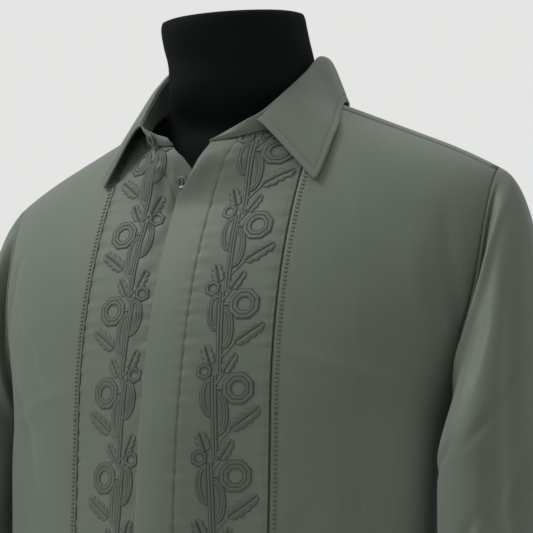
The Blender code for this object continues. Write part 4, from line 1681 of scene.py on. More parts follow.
@dataclass
class DressForm:
    """The limbless torso that wears the shirt."""

    tilt: float = 0.16
    tilt_from: float = 0.820
    sides: int = 128
    rings: Curve = curve(FORM_RINGS)

    def ring(self, height: float) -> Row:
        """The points of one section."""
        at = {name: self.rings.at(height, name) for name in self.rings.columns}
        power = 2 / at["squareness"]
        row = []
        for j in range(self.sides):
            turn = 2 * math.pi * j / self.sides
            s, c = math.sin(turn), math.cos(turn)
            depth = at["front"] if c > 0 else at["back"]
            x = at["half_width"] * MM * math.copysign(abs(s) ** power, s)
            y = -at["forward"] * MM - depth * MM * math.copysign(abs(c) ** power, c)
            z = height * MM
            lean = ease((z - self.tilt_from) / 0.05)
            row.append(Vector((x, y, z + lean * self.tilt * y)))
        return row

    def build(self, wardrobe: Wardrobe) -> None:
        """Builds and dresses the form."""
        heights = [0, 2, 4, 6] + [6 + 694 * t for t in spaced(50)[1:]]
        heights += [700 + 6 * i for i in range(1, 29)] + [871, 874, 876, 878, 879.5, 880.3, 881]
        rows = [self.ring(height) for height in sorted(set(heights))]
        mesh = grid_mesh("piece_form", rows, Vector((0, 0, 0.4)), closed=True, caps=True)
        obj = object_from("piece_form", mesh)
        finish_piece(obj, wardrobe.form, "form_cover", "dress_form")
        LOG.info("piece_form: %d rings", len(rows))


# Buttons


# The turned outline from back to dish: shares of the radius and of the thickness
BUTTON_OUTLINE: tuple[Flat, ...] = (
    (0.72, 0.0),
    (0.90, 0.14),
    (0.985, 0.34),
    (1.0, 0.52),
    (0.985, 0.76),
    (0.94, 0.92),
    (0.88, 0.99),
    (0.82, 0.99),
    (0.75, 0.90),
    (0.68, 0.76),
    (0.60, 0.69),
    (0.30, 0.66),
)


@dataclass
class Button:
    """A round button with four holes, sewn on with thread."""

    name: str
    radius: float
    place: Vector
    normal: Vector
    up: Vector
    thick: float = 0.0024
    lift: float = 0.0009
    hole: float = 0.00085
    hole_spread: float = 0.00175
    thread: float = 0.00033
    sides: int = 72

    def frame(self) -> Matrix:
        """Where the button sits: its Z along the normal, its Y as near to up as it can be."""
        z = self.normal.normalized()
        x = self.up.cross(z).normalized()
        y = z.cross(x)
        turned = Matrix((x, y, z)).transposed().to_4x4()
        return Matrix.Translation(self.place + z * self.lift) @ turned

    def build(self, wardrobe: Wardrobe) -> None:
        """Builds and dresses the button and its thread."""
        body = self.turned()
        for x in (-1, 1):
            for y in (-1, 1):
                self.drill(body, Vector((x, y, 0)) * self.hole_spread)
        body.data.transform(self.frame())
        finish_piece(body, wardrobe.button, "button_plastic", self.name)
        stitches = self.sewn()
        stitches.data.transform(self.frame())
        finish_piece(stitches, wardrobe.thread, "shirt_cloth")

    def turned(self) -> bpy.types.Object:
        """The turned body, before its holes."""
        bm = bmesh.new()
        rings = []
        for share, height in BUTTON_OUTLINE:
            ring = []
            for j in range(self.sides):
                turn = 2 * math.pi * j / self.sides
                x, y = math.cos(turn) * self.radius * share, math.sin(turn) * self.radius * share
                ring.append(bm.verts.new((x, y, height * self.thick)))
            rings.append(ring)
        for lower, upper in zip(rings, rings[1:]):
            for j in range(self.sides):
                k = (j + 1) % self.sides
                bm.faces.new((lower[j], lower[k], upper[k], upper[j]))
        bm.faces.new(list(reversed(rings[0])))
        bm.faces.new(rings[-1])
        name = f"cast_{self.name}"
        return object_from(name, mesh_from(name, bm))

    def drill(self, body: bpy.types.Object, place: Vector) -> None:
        """Cuts one hole through the button."""
        bm = bmesh.new()
        sizes = {"radius1": self.hole, "radius2": self.hole, "depth": self.thick * 4}
        bmesh.ops.create_cone(bm, cap_ends=True, segments=18, **sizes)
        mesh = mesh_from("drill", bm)
        mesh.transform(Matrix.Translation(place))
        drill = object_from("drill", mesh)
        cut = body.modifiers.new("Hole", "BOOLEAN")
        cut.operation = "DIFFERENCE"
        cut.solver = "EXACT"
        cut.object = drill
        graph = bpy.context.evaluated_depsgraph_get()
        made = bpy.data.meshes.new_from_object(body.evaluated_get(graph))
        body.modifiers.clear()
        body.data = made
        bpy.data.objects.remove(drill, do_unlink=True)
        made.shade_smooth()
        made.set_sharp_from_angle(angle=math.radians(32))

    def sewn(self) -> bpy.types.Object:
        """The thread through the holes: two bars on the face, and the shank behind."""
        tubes = TubeMesh(f"sewn_{self.name}", 6)
        top = self.thick * 0.74
        for x in (-1, 1):
            for strand in (-1, 0, 1):
                across = x * self.hole_spread + strand * self.thread * 1.3
                bow = self.thread * (1.6 if strand == 0 else 1.1)
                path = []
                for t in spaced(10):
                    y = self.hole_spread * (2 * t - 1)
                    rise = 1 - abs(2 * t - 1) ** 6
                    height = top * rise + bow * rise - self.lift * (1 - rise)
                    path.append(Vector((across, y, height)))
                tubes.add(path, self.thread)
        return tubes.build()


# Thin round work: stitches and thread


class TubeMesh:
    """Many short round tubes in one mesh."""

    def __init__(self, name: str, sides: int = 5) -> None:
        """Starts an empty mesh.

        Args:
            name: the piece's name.
            sides: how many sides each tube has.
        """
        self.name = name
        self.sides = sides
        self.points: list[Vector] = []
        self.faces: list[tuple[int, ...]] = []

    def add(self, path: Sequence[Vector], radius: float, flat: float = 1.0,
            normal: Vector | None = None) -> None:
        """Adds a tube whose ends are rounded off.

        Args:
            path: its points.
            radius: its half width.
            flat: how high it is for its width.
            normal: the direction of its height.
        """
        first = len(self.points)
        count = len(path)
        for i, point in enumerate(path):
            along = (path[min(i + 1, count - 1)] - path[max(i - 1, 0)]).normalized()
            upward = normal or (Vector((0, 0, 1)) if abs(along.z) < 0.9 else Vector((1, 0, 0)))
            across = along.cross(upward).normalized()
            upward = across.cross(along)
            size = radius * (0.45 if i in (0, count - 1) else 1.0)
            for j in range(self.sides):
                turn = 2 * math.pi * j / self.sides
                offset = across * math.cos(turn) * size + upward * math.sin(turn) * size * flat
                self.points.append(point + offset)
        for i in range(count - 1):
            for j in range(self.sides):
                k = (j + 1) % self.sides
                a, b = first + i * self.sides, first + (i + 1) * self.sides
                self.faces.append((a + j, a + k, b + k, b + j))
        last = first + (count - 1) * self.sides
        self.faces.append(tuple(reversed(range(first, first + self.sides))))
        self.faces.append(tuple(range(last, last + self.sides)))

    def build(self) -> bpy.types.Object:
        """Makes the piece."""
        mesh = bpy.data.meshes.new(self.name)
        mesh.from_pydata(self.points, [], self.faces)
        mesh.update()
        mesh.shade_smooth()
        return object_from(self.name, mesh)


@dataclass
class Fastenings:
    """The buttons that show: at the V, on the stand's end and on each cuff."""

    bodice: Bodice
    collar: Collar
    cuffs: Sequence[Cuff]
    front_radius: float = 0.0056
    stand_radius: float = 0.0050
    stand_shares: Flat = (0.105, 0.13)
    cuff_radius: float = 0.0050
    front_x: float = -0.014
    front_levels: Flat = (0.6294, 0.75)
    front_rise: float = 0.72

    def at_front(self) -> Button:
        """The button at the V, on the underlap."""
        body = self.bodice.body
        panel = self.bodice.panels[Side.RIGHT]

        def lapped(x: float, level: float) -> Vector:
            around = body.around_at(x, level)
            drop = panel.underlap_drop(x, body.point(-1, around, level).z)
            return body.offset(-1, around, level, -drop)

        below, above = (lapped(self.front_x, level) for level in self.front_levels)
        beside = lapped(self.front_x + self.front_radius, self.front_levels[1])
        normal = (beside - above).cross(above - below).normalized()
        place = below.lerp(above, self.front_rise)
        return Button("front_button", self.front_radius, place, normal, UP)

    def at_stand(self) -> Button:
        """The button on the stand's right end."""
        collar = self.collar
        share, ahead = self.stand_shares
        place = collar.stand_point(Side.RIGHT, share, 0.5)
        along = collar.stand_point(Side.RIGHT, ahead, 0.5) - place
        up = collar.stand_point(Side.RIGHT, share, 0.7) - place
        normal = up.cross(along).normalized()
        if normal.y > 0:
            normal = -normal
        return Button("stand_button", self.stand_radius, place, normal, up.normalized())

    def at_cuff(self, cuff: Cuff) -> Button:
        """The button on a cuff's lapped end."""
        side = cuff.sleeve.side
        height = (cuff.top + cuff.bottom) / 2
        place = cuff.point(height, cuff.steps - 1)
        along = cuff.point(height, cuff.steps) - cuff.point(height, cuff.steps - 2)
        normal = along.cross(UP).normalized()
        if normal.x * side.value < 0:
            normal = -normal
        return Button(f"cuff_button_{side.word}", self.cuff_radius, place, normal, UP)

    def build(self, wardrobe: Wardrobe) -> None:
        """Builds and dresses every button."""
        for button in [self.at_front(), self.at_stand(), *map(self.at_cuff, self.cuffs)]:
            button.build(wardrobe)
            LOG.info("%s: %.1f mm across", button.name, 2 * button.radius / MM)


# Embroidery


@dataclass(frozen=True)
class RingMotif:
    """A ring with straight sides: its middle, its turn and the radii of its drawn lines."""

    across: float
    along: float
    sides: int
    turn: float
    lines: tuple[float, ...]


@dataclass(frozen=True)
class MoonMotif:
    """A half-moon leaf on one side of the stem: 1 outside it, -1 inside, with its size."""

    side: int
    along: float
    half_height: float
    depth: float


@dataclass(frozen=True)
class SprigMotif:
    """A leafy sprig: where its stalk starts, where its blade starts and ends, and its leaflets."""

    start: Flat
    base: Flat
    tip: Flat
    half_width: float
    leaflets: int


@dataclass(frozen=True)
class VineChart:
    """One repeat of the border: a common vine with rings, half moons and sprigs.

    Places are in round millimetres: across from the centre front, and up the cloth from the ring's
    middle. Every outline is worked out by a formula from these few sizes.
    """

    repeat: float = 67.0
    stem_top: Flat = (43.0, 10.0)
    stem_foot: Flat = (47.0, -56.0)
    stem_half_width: float = 2.2
    stalk_half_width: float = 1.2
    moon_lines: tuple[Flat, ...] = ((1.0, 1.0), (0.78, 0.90), (0.54, 0.76))
    rings: tuple[RingMotif, ...] = (
        RingMotif(62.5, 0.0, 8, 22.5, (13.0, 9.4, 6.0)),
        RingMotif(35.0, 13.5, 6, 30.0, (6.6, 3.7)),
    )
    moons: tuple[MoonMotif, ...] = (
        MoonMotif(-1, -6.5, 15.5, 8.5),
        MoonMotif(1, -19.0, 17.0, 8.5),
    )
    sprigs: tuple[SprigMotif, ...] = (
        SprigMotif((47.5, 11.0), (40.0, 18.0), (34.0, 34.0), 6.0, 3),
        SprigMotif((45.0, 3.5), (50.5, 12.0), (59.5, 27.5), 5.4, 3),
        SprigMotif((48.5, -42.0), (57.5, -31.5), (80.0, -15.0), 6.8, 4),
    )


class StitchMesh:
    """Raised needlework on a panel, drawn in the chart's own places and laid on the cloth.

    CROWN is how much higher the middle of a band is, as a share, and SINK is how far its edges go
    into the cloth, in millimetres.
    """

    CROWN = 0.25
    SINK = 0.12

    def __init__(self, name: str, lay: Callable[[float, float, float], Vector | None]) -> None:
        """Starts an empty piece.

        Args:
            name: the piece's name.
            lay: gives the point for a place across, a place along and a height, or nothing off
                the cloth.
        """
        self.name = name
        self.lay = lay
        self.points: list[Vector | None] = []
        self.faces: list[tuple[int, ...]] = []
        self.corners: list[Flat] = []

    def between(
        self, first: Sequence[Flat], second: Sequence[Flat], height: float, steps: int,
        closed: bool = False, turned: bool = False,
    ) -> None:
        """Fills the space between two lines with a soft raised satin.

        Args:
            first: points along one side, in millimetres.
            second: as many points along the other.
            height: how far it stands off the cloth.
            steps: how many steps cross it.
            closed: whether it runs round into itself.
            turned: whether the strands run along it.
        """
        start = len(self.points)
        shares = [0.0, 0.1] + [0.1 + 0.8 * i / steps for i in range(1, steps + 1)] + [1.0]
        count = len(first)
        along = 0.0
        marks = []
        for i in range(count):
            ax, ay = first[i]
            bx, by = second[i]
            wide = math.hypot(bx - ax, by - ay)
            if i:
                px, py = first[i - 1]
                qx, qy = second[i - 1]
                along += math.hypot((ax + bx - px - qx) / 2, (ay + by - py - qy) / 2)
            marks.append((along, wide))
            taper = 1.0 if closed else min(1.0, wide / 0.8)
            for share in shares:
                inner = 0.0 < share < 1.0
                swell = 1 + self.CROWN * math.sin(math.pi * share)
                lift = height * swell * taper if inner else -self.SINK
                x, y = ax + (bx - ax) * share, ay + (by - ay) * share
                self.points.append(self.lay(x, y, lift * MM))
        columns = len(shares)
        for i in range(count if closed else count - 1):
            k = (i + 1) % count
            ahead = marks[k][0] if k else marks[-1][0] + 1.0
            for j in range(columns - 1):
                quad = (i, j), (i, j + 1), (k, j + 1), (k, j)
                numbers = tuple(start + a * columns + b for a, b in quad)
                if any(self.points[n] is None for n in numbers):
                    continue
                self.faces.append(numbers)
                for a, b in quad:
                    run = ahead if a == k else marks[i][0]
                    wide = marks[a][1] * shares[b]
                    uv = (run * MM, wide * MM) if turned else (wide * MM, run * MM)
                    self.corners.append(uv)

    def ribbon(self, path: Sequence[Flat], half_width: float, height: float) -> None:
        """A narrow raised band along a line."""
        first, second = [], []
        for i, (x, y) in enumerate(path):
            before, after = path[max(i - 1, 0)], path[min(i + 1, len(path) - 1)]
            dx, dy = after[0] - before[0], after[1] - before[1]
            size = math.hypot(dx, dy) or 1.0
            nx, ny = -dy / size * half_width, dx / size * half_width
            first.append((x + nx, y + ny))
            second.append((x - nx, y - ny))
        self.between(first, second, height, 1)

    def build(self) -> bpy.types.Object:
        """Makes the piece."""
        kept = sorted({n for face in self.faces for n in face})
        renumbered = {old: new for new, old in enumerate(kept)}
        mesh = bpy.data.meshes.new(self.name)
        faces = [tuple(renumbered[n] for n in face) for face in self.faces]
        mesh.from_pydata([self.points[n] for n in kept], [], faces)
        layer = mesh.uv_layers.new(name="stitch")
        layer.data.foreach_set("uv", [value for corner in self.corners for value in corner])
        mesh.update()
        middle = Vector((0, 0.02, 0.45))
        if sum((p.center - middle).dot(p.normal) * p.area for p in mesh.polygons) < 0:
            mesh.flip_normals()
        mesh.shade_smooth()
        return object_from(self.name, mesh)


@dataclass(frozen=True)
class Drift:
    """How far the vine's line wanders across at a height above the floor, on each panel."""

    height: float
    left: float
    right: float


VINE_DRIFT = table(
    Drift,
    (40, 0.0, -7.5), (490, 0.0, -7.5), (557, 0.5, -6.0), (622, 0.0, -4.0), (685, 1.5, -1.0),
    (742, 5.5, -3.0), (800, 7.0, -2.0),
)


@dataclass
class Embroidery:
    """The vine on a front panel: satin fills, with darker outlines worked over their edges."""

    panel: PanelPattern
    chart: VineChart = field(default_factory=VineChart)
    anchor: float = 0.623
    track: float = 0.055
    satin: float = 0.42
    outline: float = 0.50
    outline_half_width: float = 0.30
    leaf_lean: float = 0.3
    step: float = 1.6
    hem_clear: float = 0.022
    seam_clear: float = 0.0015
    measures: tuple[int, int] = (180, 160)
    drift: Curve = curve(VINE_DRIFT)

    def __post_init__(self) -> None:
        """Measures the cloth's length up the vine's line."""
        body = self.panel.body
        low, high = self.measures
        levels = body.low_levels(low)
        levels += [self.panel.shoulder_seam_level * (i + 1) / high for i in range(high)]
        points = [self.panel.place(self.panel.side.value * self.track, level) for level in levels]
        lengths = lengths_along(points)
        anchor = next(i for i, point in enumerate(points) if point.z >= self.anchor)
        self.levels = levels
        self.lengths = [(length - lengths[anchor]) / MM for length in lengths]

    def level_at(self, along: float) -> float | None:
        """The body's level at a length up the cloth in millimetres, or nothing off the cloth."""
        if not self.lengths[0] <= along < self.lengths[-1]:
            return None
        i = bisect.bisect_right(self.lengths, along) - 1
        share = (along - self.lengths[i]) / (self.lengths[i + 1] - self.lengths[i])
        return self.levels[i] + (self.levels[i + 1] - self.levels[i]) * share

    def lay(self, across: float, along: float, out: float) -> Vector | None:
        """A point on the panel for a place of the chart, or nothing off the cloth."""
        level = self.level_at(along)
        if level is None:
            return None
        sign = self.panel.side.value
        height = self.panel.body.point(sign, 40, level).z / MM
        x = sign * (across + self.drift.at(height, self.panel.side.word)) * MM
        edges = self.panel.inner_edge(level), self.panel.outer_edge()
        if min((x - edges[0]) * sign, (edges[1] - x) * sign) < self.seam_clear:
            return None
        point = self.panel.place(x, level, out)
        return point if point.z > self.panel.body.hem + self.hem_clear else None

    def build(self, wardrobe: Wardrobe) -> None:
        """Works every repeat, and dresses the satin and the outlines."""
        word = self.panel.side.word
        satin = StitchMesh(f"satin_vine_{word}", self.lay)
        outline = StitchMesh(f"outline_vine_{word}", self.lay)
        first = math.floor(self.lengths[0] / self.chart.repeat)
        last = math.ceil(self.lengths[-1] / self.chart.repeat)
        for number in range(first, last + 1):
            self.work(number * self.chart.repeat, satin, outline)
        finish_piece(satin.build(), wardrobe.embroidery, "shirt_cloth")
        finish_piece(outline.build(), wardrobe.outline, "shirt_cloth")
        counts = len(satin.faces), len(outline.faces)
        LOG.info("vine %s: %d satin and %d outline faces", word, *counts)

    def work(self, up: float, satin: StitchMesh, outline: StitchMesh) -> None:
        """Works one repeat.

        Args:
            up: how far up the cloth it is moved.
            satin: takes the fills.
            outline: takes the outlines.
        """
        self.work_stem(up, satin, outline)
        for ring in self.chart.rings:
            self.work_ring(ring, up, satin, outline)
        for moon in self.chart.moons:
            self.work_moon(moon, up, satin, outline)
        for sprig in self.chart.sprigs:
            self.work_sprig(sprig, up, satin, outline)

    def line(self, a: Flat, b: Flat, up: float) -> list[Flat]:
        """Points along a straight line."""
        count = max(2, round(math.dist(a, b) / self.step))
        return [(a[0] + (b[0] - a[0]) * t, a[1] + (b[1] - a[1]) * t + up) for t in spaced(count)]

    def stem_at(self, along: float) -> float:
        """How far across the middle of the stem is."""
        top, foot = self.chart.stem_top, self.chart.stem_foot
        return top[0] + (foot[0] - top[0]) * (top[1] - along) / (top[1] - foot[1])

    def work_stem(self, up: float, satin: StitchMesh, outline: StitchMesh) -> None:
        """The stem: two ribs with a dark line between them and on each side."""
        half = self.chart.stem_half_width
        top, foot = self.chart.stem_top, self.chart.stem_foot
        for side in (-1, 1):
            offset = side * half * 0.52
            a, b = (top[0] + offset, top[1]), (foot[0] + offset, foot[1])
            satin.ribbon(self.line(a, b, up), half * 0.46, self.satin)
            offset = side * half
            a, b = (top[0] + offset, top[1]), (foot[0] + offset, foot[1])
            outline.ribbon(self.line(a, b, up), self.outline_half_width, self.outline)
        outline.ribbon(self.line(top, foot, up), self.outline_half_width * 0.8, self.outline * 0.8)
        ring = self.chart.rings[0]
        start = (self.stem_at(ring.along) + half, ring.along)
        end = (ring.across - ring.lines[0] + 0.6, ring.along)
        satin.ribbon(self.line(start, end, up), self.chart.stalk_half_width, self.satin * 0.9)
        for side in (-1, 1):
            rise = side * self.chart.stalk_half_width
            a, b = (start[0], start[1] + rise), (end[0], end[1] + rise)
            outline.ribbon(self.line(a, b, up), self.outline_half_width * 0.8, self.outline * 0.9)

    def polygon(self, ring: RingMotif, radius: float, up: float) -> list[Flat]:
        """Points round a ring with straight sides, several to a side."""
        corners = []
        for j in range(ring.sides):
            turn = math.radians(ring.turn + 360 * j / ring.sides)
            corners.append((ring.across + radius * math.cos(turn),
                            ring.along + up + radius * math.sin(turn)))
        count = max(2, round(math.dist(corners[0], corners[1]) / (self.step * 1.4)))
        path = []
        for a, b in zip(corners, corners[1:] + corners[:1]):
            path += [(a[0] + (b[0] - a[0]) * j / count, a[1] + (b[1] - a[1]) * j / count)
                     for j in range(count)]
        return path

    def work_ring(self, ring: RingMotif, up: float, satin: StitchMesh, outline: StitchMesh) -> None:
        """A ring: satin bands between its lines, and a dark line on each."""
        outer_radius = ring.lines[0]

        def path(radius: float) -> list[Flat]:
            # Every line has as many points as the outer one, so that a band can lie between two
            shape = self.polygon(ring, outer_radius, up)
            middle_x, middle_y = ring.across, ring.along + up
            share = radius / outer_radius
            return [(middle_x + (x - middle_x) * share, middle_y + (y - middle_y) * share)
                    for x, y in shape]

        for outer, inner in zip(ring.lines, ring.lines[1:]):
            satin.between(path(outer), path(inner), self.satin, 3, closed=True)
        half = self.outline_half_width
        for radius in ring.lines:
            outline.between(path(radius + half), path(radius - half), self.outline, 1, closed=True)

    def work_moon(self, moon: MoonMotif, up: float, satin: StitchMesh, outline: StitchMesh) -> None:
        """A half-moon leaf: a rim band round an arc, and a fill of upright stitches inside it."""
        edge = self.chart.stem_half_width + 0.3

        def arc(share: float, reach: float) -> list[Flat]:
            # reach trims both ends, so that the inner arcs stay inside the leaf
            path = []
            for t in spaced(22):
                turn = math.radians(-90 + 180 * t)
                along = moon.along + moon.half_height * reach * math.sin(turn)
                bulge = moon.depth * share * math.cos(turn) ** 0.85 if abs(turn) < 1.5707 else 0.0
                path.append((self.stem_at(along) + moon.side * (edge + bulge), along + up))
            return path

        arcs = [arc(share, reach) for share, reach in self.chart.moon_lines]
        base = [(self.stem_at(y - up) + moon.side * edge, y) for _, y in arcs[-1]]
        for outer, inner in zip(arcs, arcs[1:]):
            satin.between(outer, inner, self.satin, 2)
        satin.between(arcs[-1], base, self.satin * 0.7, 4, turned=True)
        for path in arcs:
            outline.ribbon(path, self.outline_half_width, self.outline)

    def work_sprig(
        self, sprig: SprigMotif, up: float, satin: StitchMesh, outline: StitchMesh
    ) -> None:
        """A sprig: a stalk, a midrib and leaflets that swell and pinch down both sides."""
        base, tip = sprig.base, sprig.tip
        length = math.dist(base, tip)
        dx, dy = (tip[0] - base[0]) / length, (tip[1] - base[1]) / length

        def point(t: float, out: float) -> Flat:
            # The leaflets lean towards the tip
            run = length * t + self.leaf_lean * abs(out) * (1 - t)
            return (base[0] + dx * run - dy * out, base[1] + dy * run + dx * out + up)

        def width(t: float, shift: float) -> float:
            swell = max(1 - abs(2 * t - 1) ** 4.5, 0.0) ** 0.5 * (1.0 - 0.30 * t)
            lobes = abs(math.sin(math.pi * (sprig.leaflets * t + shift))) ** 0.5
            return 0.35 + (sprig.half_width - 0.35) * swell * (0.54 + 0.46 * lobes)

        shares = spaced(sprig.leaflets * 8)
        for side, shift in ((1, 0.0), (-1, 0.3)):
            rim = [point(t, side * width(t, shift)) for t in shares]
            rib = [point(t, side * 0.3) for t in shares]
            satin.between(rim, rib, self.satin, 3)
            outline.ribbon(rim, self.outline_half_width * 0.7, self.outline * 0.7)
            for k in range(sprig.leaflets):
                t = (k + 0.5 - shift) / sprig.leaflets
                vein = [point(t - 0.06 * (1 - s), side * (0.3 + (width(t, shift) - 0.9) * s))
                        for s in spaced(4)]
                outline.ribbon(vein, self.outline_half_width * 0.6, self.outline * 0.8)
        stalk = self.line(sprig.start, base, up)
        midrib = [point(t, 0.0) for t in spaced(12)][:-1]
        satin.ribbon(stalk, self.chart.stalk_half_width * 0.75, self.satin)
        outline.ribbon(stalk[:-1] + midrib, self.outline_half_width, self.outline * 1.1)


@dataclass
class ArrowTrim:
    """A row of small arrowheads worked just outside a front panel's seam."""

    panel: PanelPattern
    clear: float = 0.0043
    pitch: float = 0.00345
    arm: float = 0.0020
    thread: float = 0.00045
    arm_turns: Flat = (38.0, 142.0)
    lift: float = 0.00012

    def build(self, wardrobe: Wardrobe) -> None:
        """Works the row from the hem to the shoulder seam."""
        panel, body = self.panel, self.panel.body
        sign = panel.side.value
        middle = sign * (panel.edge + self.clear)
        tubes = TubeMesh(f"arrow_trim_{panel.side.word}", 5)
        level = body.hem - body.armhole_base + 0.014
        while level < panel.shoulder_seam_level - 0.006:
            for turn in self.arm_turns:
                angle = math.radians(turn)
                path = []
                for t in spaced(3):
                    x = middle + sign * self.arm * math.cos(angle) * t
                    rise = self.arm * (math.sin(angle) * t - 0.3)
                    place = level + rise / (1.0 if level < 0 else self.reach(middle))
                    path.append(self.point(x, place))
                normal = body.normal(sign, body.around_at(middle, level), level)
                tubes.add(path, self.thread, 0.7, normal)
            level += self.pitch / (1.0 if level < 0 else self.reach(middle) * 1.04)
        finish_piece(tubes.build(), wardrobe.embroidery_dark, "shirt_cloth")

    def reach(self, x: float) -> float:
        """How much height there is to a level above the armhole's base."""
        return self.panel.body.shoulder_ridge(x) - self.panel.body.armhole_base

    def point(self, x: float, level: float) -> Vector:
        """A point on the cloth outside the seam."""
        body = self.panel.body
        return body.offset(self.panel.side.value, body.around_at(x, level), level, self.lift)


# Sewing


@dataclass
class Seamwork:
    """Straight rows of stitches along the seams and edges that show."""

    thread: float = 0.00018
    stitch: float = 0.0026
    gap: float = 0.0003
    cord_step: float = 0.0016
    cord_waver: float = 0.00018
    cord_sink: float = 0.00015
    cord_inside: float = 0.0004
    cord_radius: float = 0.00045
    placket_pair: float = 0.0006
    placket_rise: float = 0.00008
    seam_inset: float = 0.0009
    corner_clear: float = 0.004
    stand_inset: float = 0.0035
    yoke_inset: float = 0.0022
    hem_inset: float = 0.012
    hem_step: float = 0.003

    def sew(self, tubes: TubeMesh, path: Sequence[Vector]) -> None:
        """Sews along a line on the cloth.

        Args:
            tubes: takes the stitches.
            path: points of the line, on the cloth's face.
        """
        lengths = lengths_along(path)

        def at(distance: float) -> Vector:
            i = min(max(bisect.bisect_right(lengths, distance) - 1, 0), len(path) - 2)
            span = lengths[i + 1] - lengths[i] or 1.0
            return path[i].lerp(path[i + 1], (distance - lengths[i]) / span)

        place = self.gap
        while place + self.stitch < lengths[-1]:
            stitch = [at(place + self.stitch * t) for t in spaced(2)]
            tubes.add(stitch, self.thread)
            place += self.stitch + self.gap

    def inset(self, rows: Sequence[Row], inset: float, sides: str) -> list[Row]:
        """Lines that run inside a sheet's edges at a distance.

        Args:
            rows: the sheet's points.
            inset: the distance.
            sides: which edges: any of f, l, a, b for the first row, last row, first column and
                last column.

        Returns:
            One line for each edge.
        """
        grids = {
            "f": [list(column) for column in zip(*rows)],
            "l": [list(reversed(column)) for column in zip(*rows)],
            "a": [list(row) for row in rows],
            "b": [list(reversed(row)) for row in rows],
        }
        lines = []
        for side in sides:
            line = []
            for run in grids[side]:
                travelled = 0.0
                for before, after in zip(run, run[1:]):
                    span = (after - before).length
                    if travelled + span >= inset:
                        line.append(before.lerp(after, (inset - travelled) / (span or 1.0)))
                        break
                    travelled += span
            lines.append(line)
        return lines

    def cord(self, panel: PanelPattern, wardrobe: Wardrobe) -> None:
        """Works the dark, slightly wavering cord of close stitches in a panel's outer seam. Its
        darkness is partly painted shade: the dark thread also stands for the shadow in the seam's
        narrow ditch.
        """
        tubes = TubeMesh(f"seam_cord_{panel.side.word}", 6)
        sign = panel.side.value
        path = []
        for number, level in enumerate(panel.levels(self.cord_step)):
            waver = self.cord_waver * (math.sin(number * 1.9) + 0.6 * math.sin(number * 0.83 + 1.0))
            place = sign * (panel.edge - self.cord_inside + waver)
            around = panel.body.around_at(place, level)
            path.append(panel.body.offset(sign, around, level, -self.cord_sink))
        tubes.add(path, self.cord_radius, 0.8, Vector((sign * 0.4, -0.9, 0.1)))
        # The dark outline thread here is partly painted shade for the seam's ditch
        finish_piece(tubes.build(), wardrobe.outline, "shirt_cloth")

    def build(
        self, bodice: Bodice, cuffs: Sequence[Cuff], collar: Collar, wardrobe: Wardrobe
    ) -> None:
        """Sews the placket, seams, hem, collar and cuffs."""
        for panel in bodice.panels.values():
            self.cord(panel, wardrobe)
        tubes = TubeMesh("seam_stitches", 5)
        for panel in bodice.panels.values():
            sign = panel.side.value
            # The panel's own rows, so that the stitches lie on its puckers
            levels = panel.levels(bodice.fine * 0.8)
            for shift in (-self.placket_pair, self.placket_pair):
                places = [(panel.placket_line(v) + shift, v) for v in levels]
                self.sew(tubes, [panel.place(x, v, self.placket_rise) for x, v in places])
            for seam in (panel.edge - panel.fell_width, panel.edge - self.seam_inset):
                self.sew(tubes, [panel.place(sign * seam, v) for v in levels])
        for cuff in cuffs:
            for line in self.inset(cuff.rows(), cuff.topstitch, "flb"):
                self.sew(tubes, line)
        fall = collar.fall_rows()
        edge = self.inset(fall, collar.topstitch, "l")[0]
        ends = edge[0], edge[-1]
        self.sew(tubes, [p for p in edge if min((p - e).length for e in ends) > self.corner_clear])
        for line in self.inset(fall, collar.topstitch, "ab"):
            self.sew(tubes, line[:-5])
        for line in self.inset(collar.stand_rows(), self.stand_inset, "f"):
            self.sew(tubes, line)
        for line in self.inset(bodice.yoke_rows(), self.yoke_inset, "lf"):
            self.sew(tubes, line)
        sheets = [bodice.back_rows(), *(bodice.side_front_rows(side) for side in Side)]
        steps = bodice.panel_steps
        sheets += [panel.rows(self.hem_step, *steps) for panel in bodice.panels.values()]
        for rows in sheets:
            self.sew(tubes, self.inset(rows, self.hem_inset, "f")[0])
        LOG.info("seam stitches: %d faces", len(tubes.faces))
        finish_piece(tubes.build(), wardrobe.thread, "shirt_cloth")


# Studio


@dataclass(frozen=True)
class Lamp:
    """A square soft light: its place, where it points, its side's length and its watts."""

    name: str
    place: tuple[float, float, float]
    aim: tuple[float, float, float]
    size: float
    power: float


LAMPS = (
    Lamp("key", (-1.85, -1.25, 3.1), (0, 0, 0.5), 1.2, 56),
    Lamp("overhead", (0.5, 0.6, 3.0), (0, 0, 0.6), 1.8, 16),
)


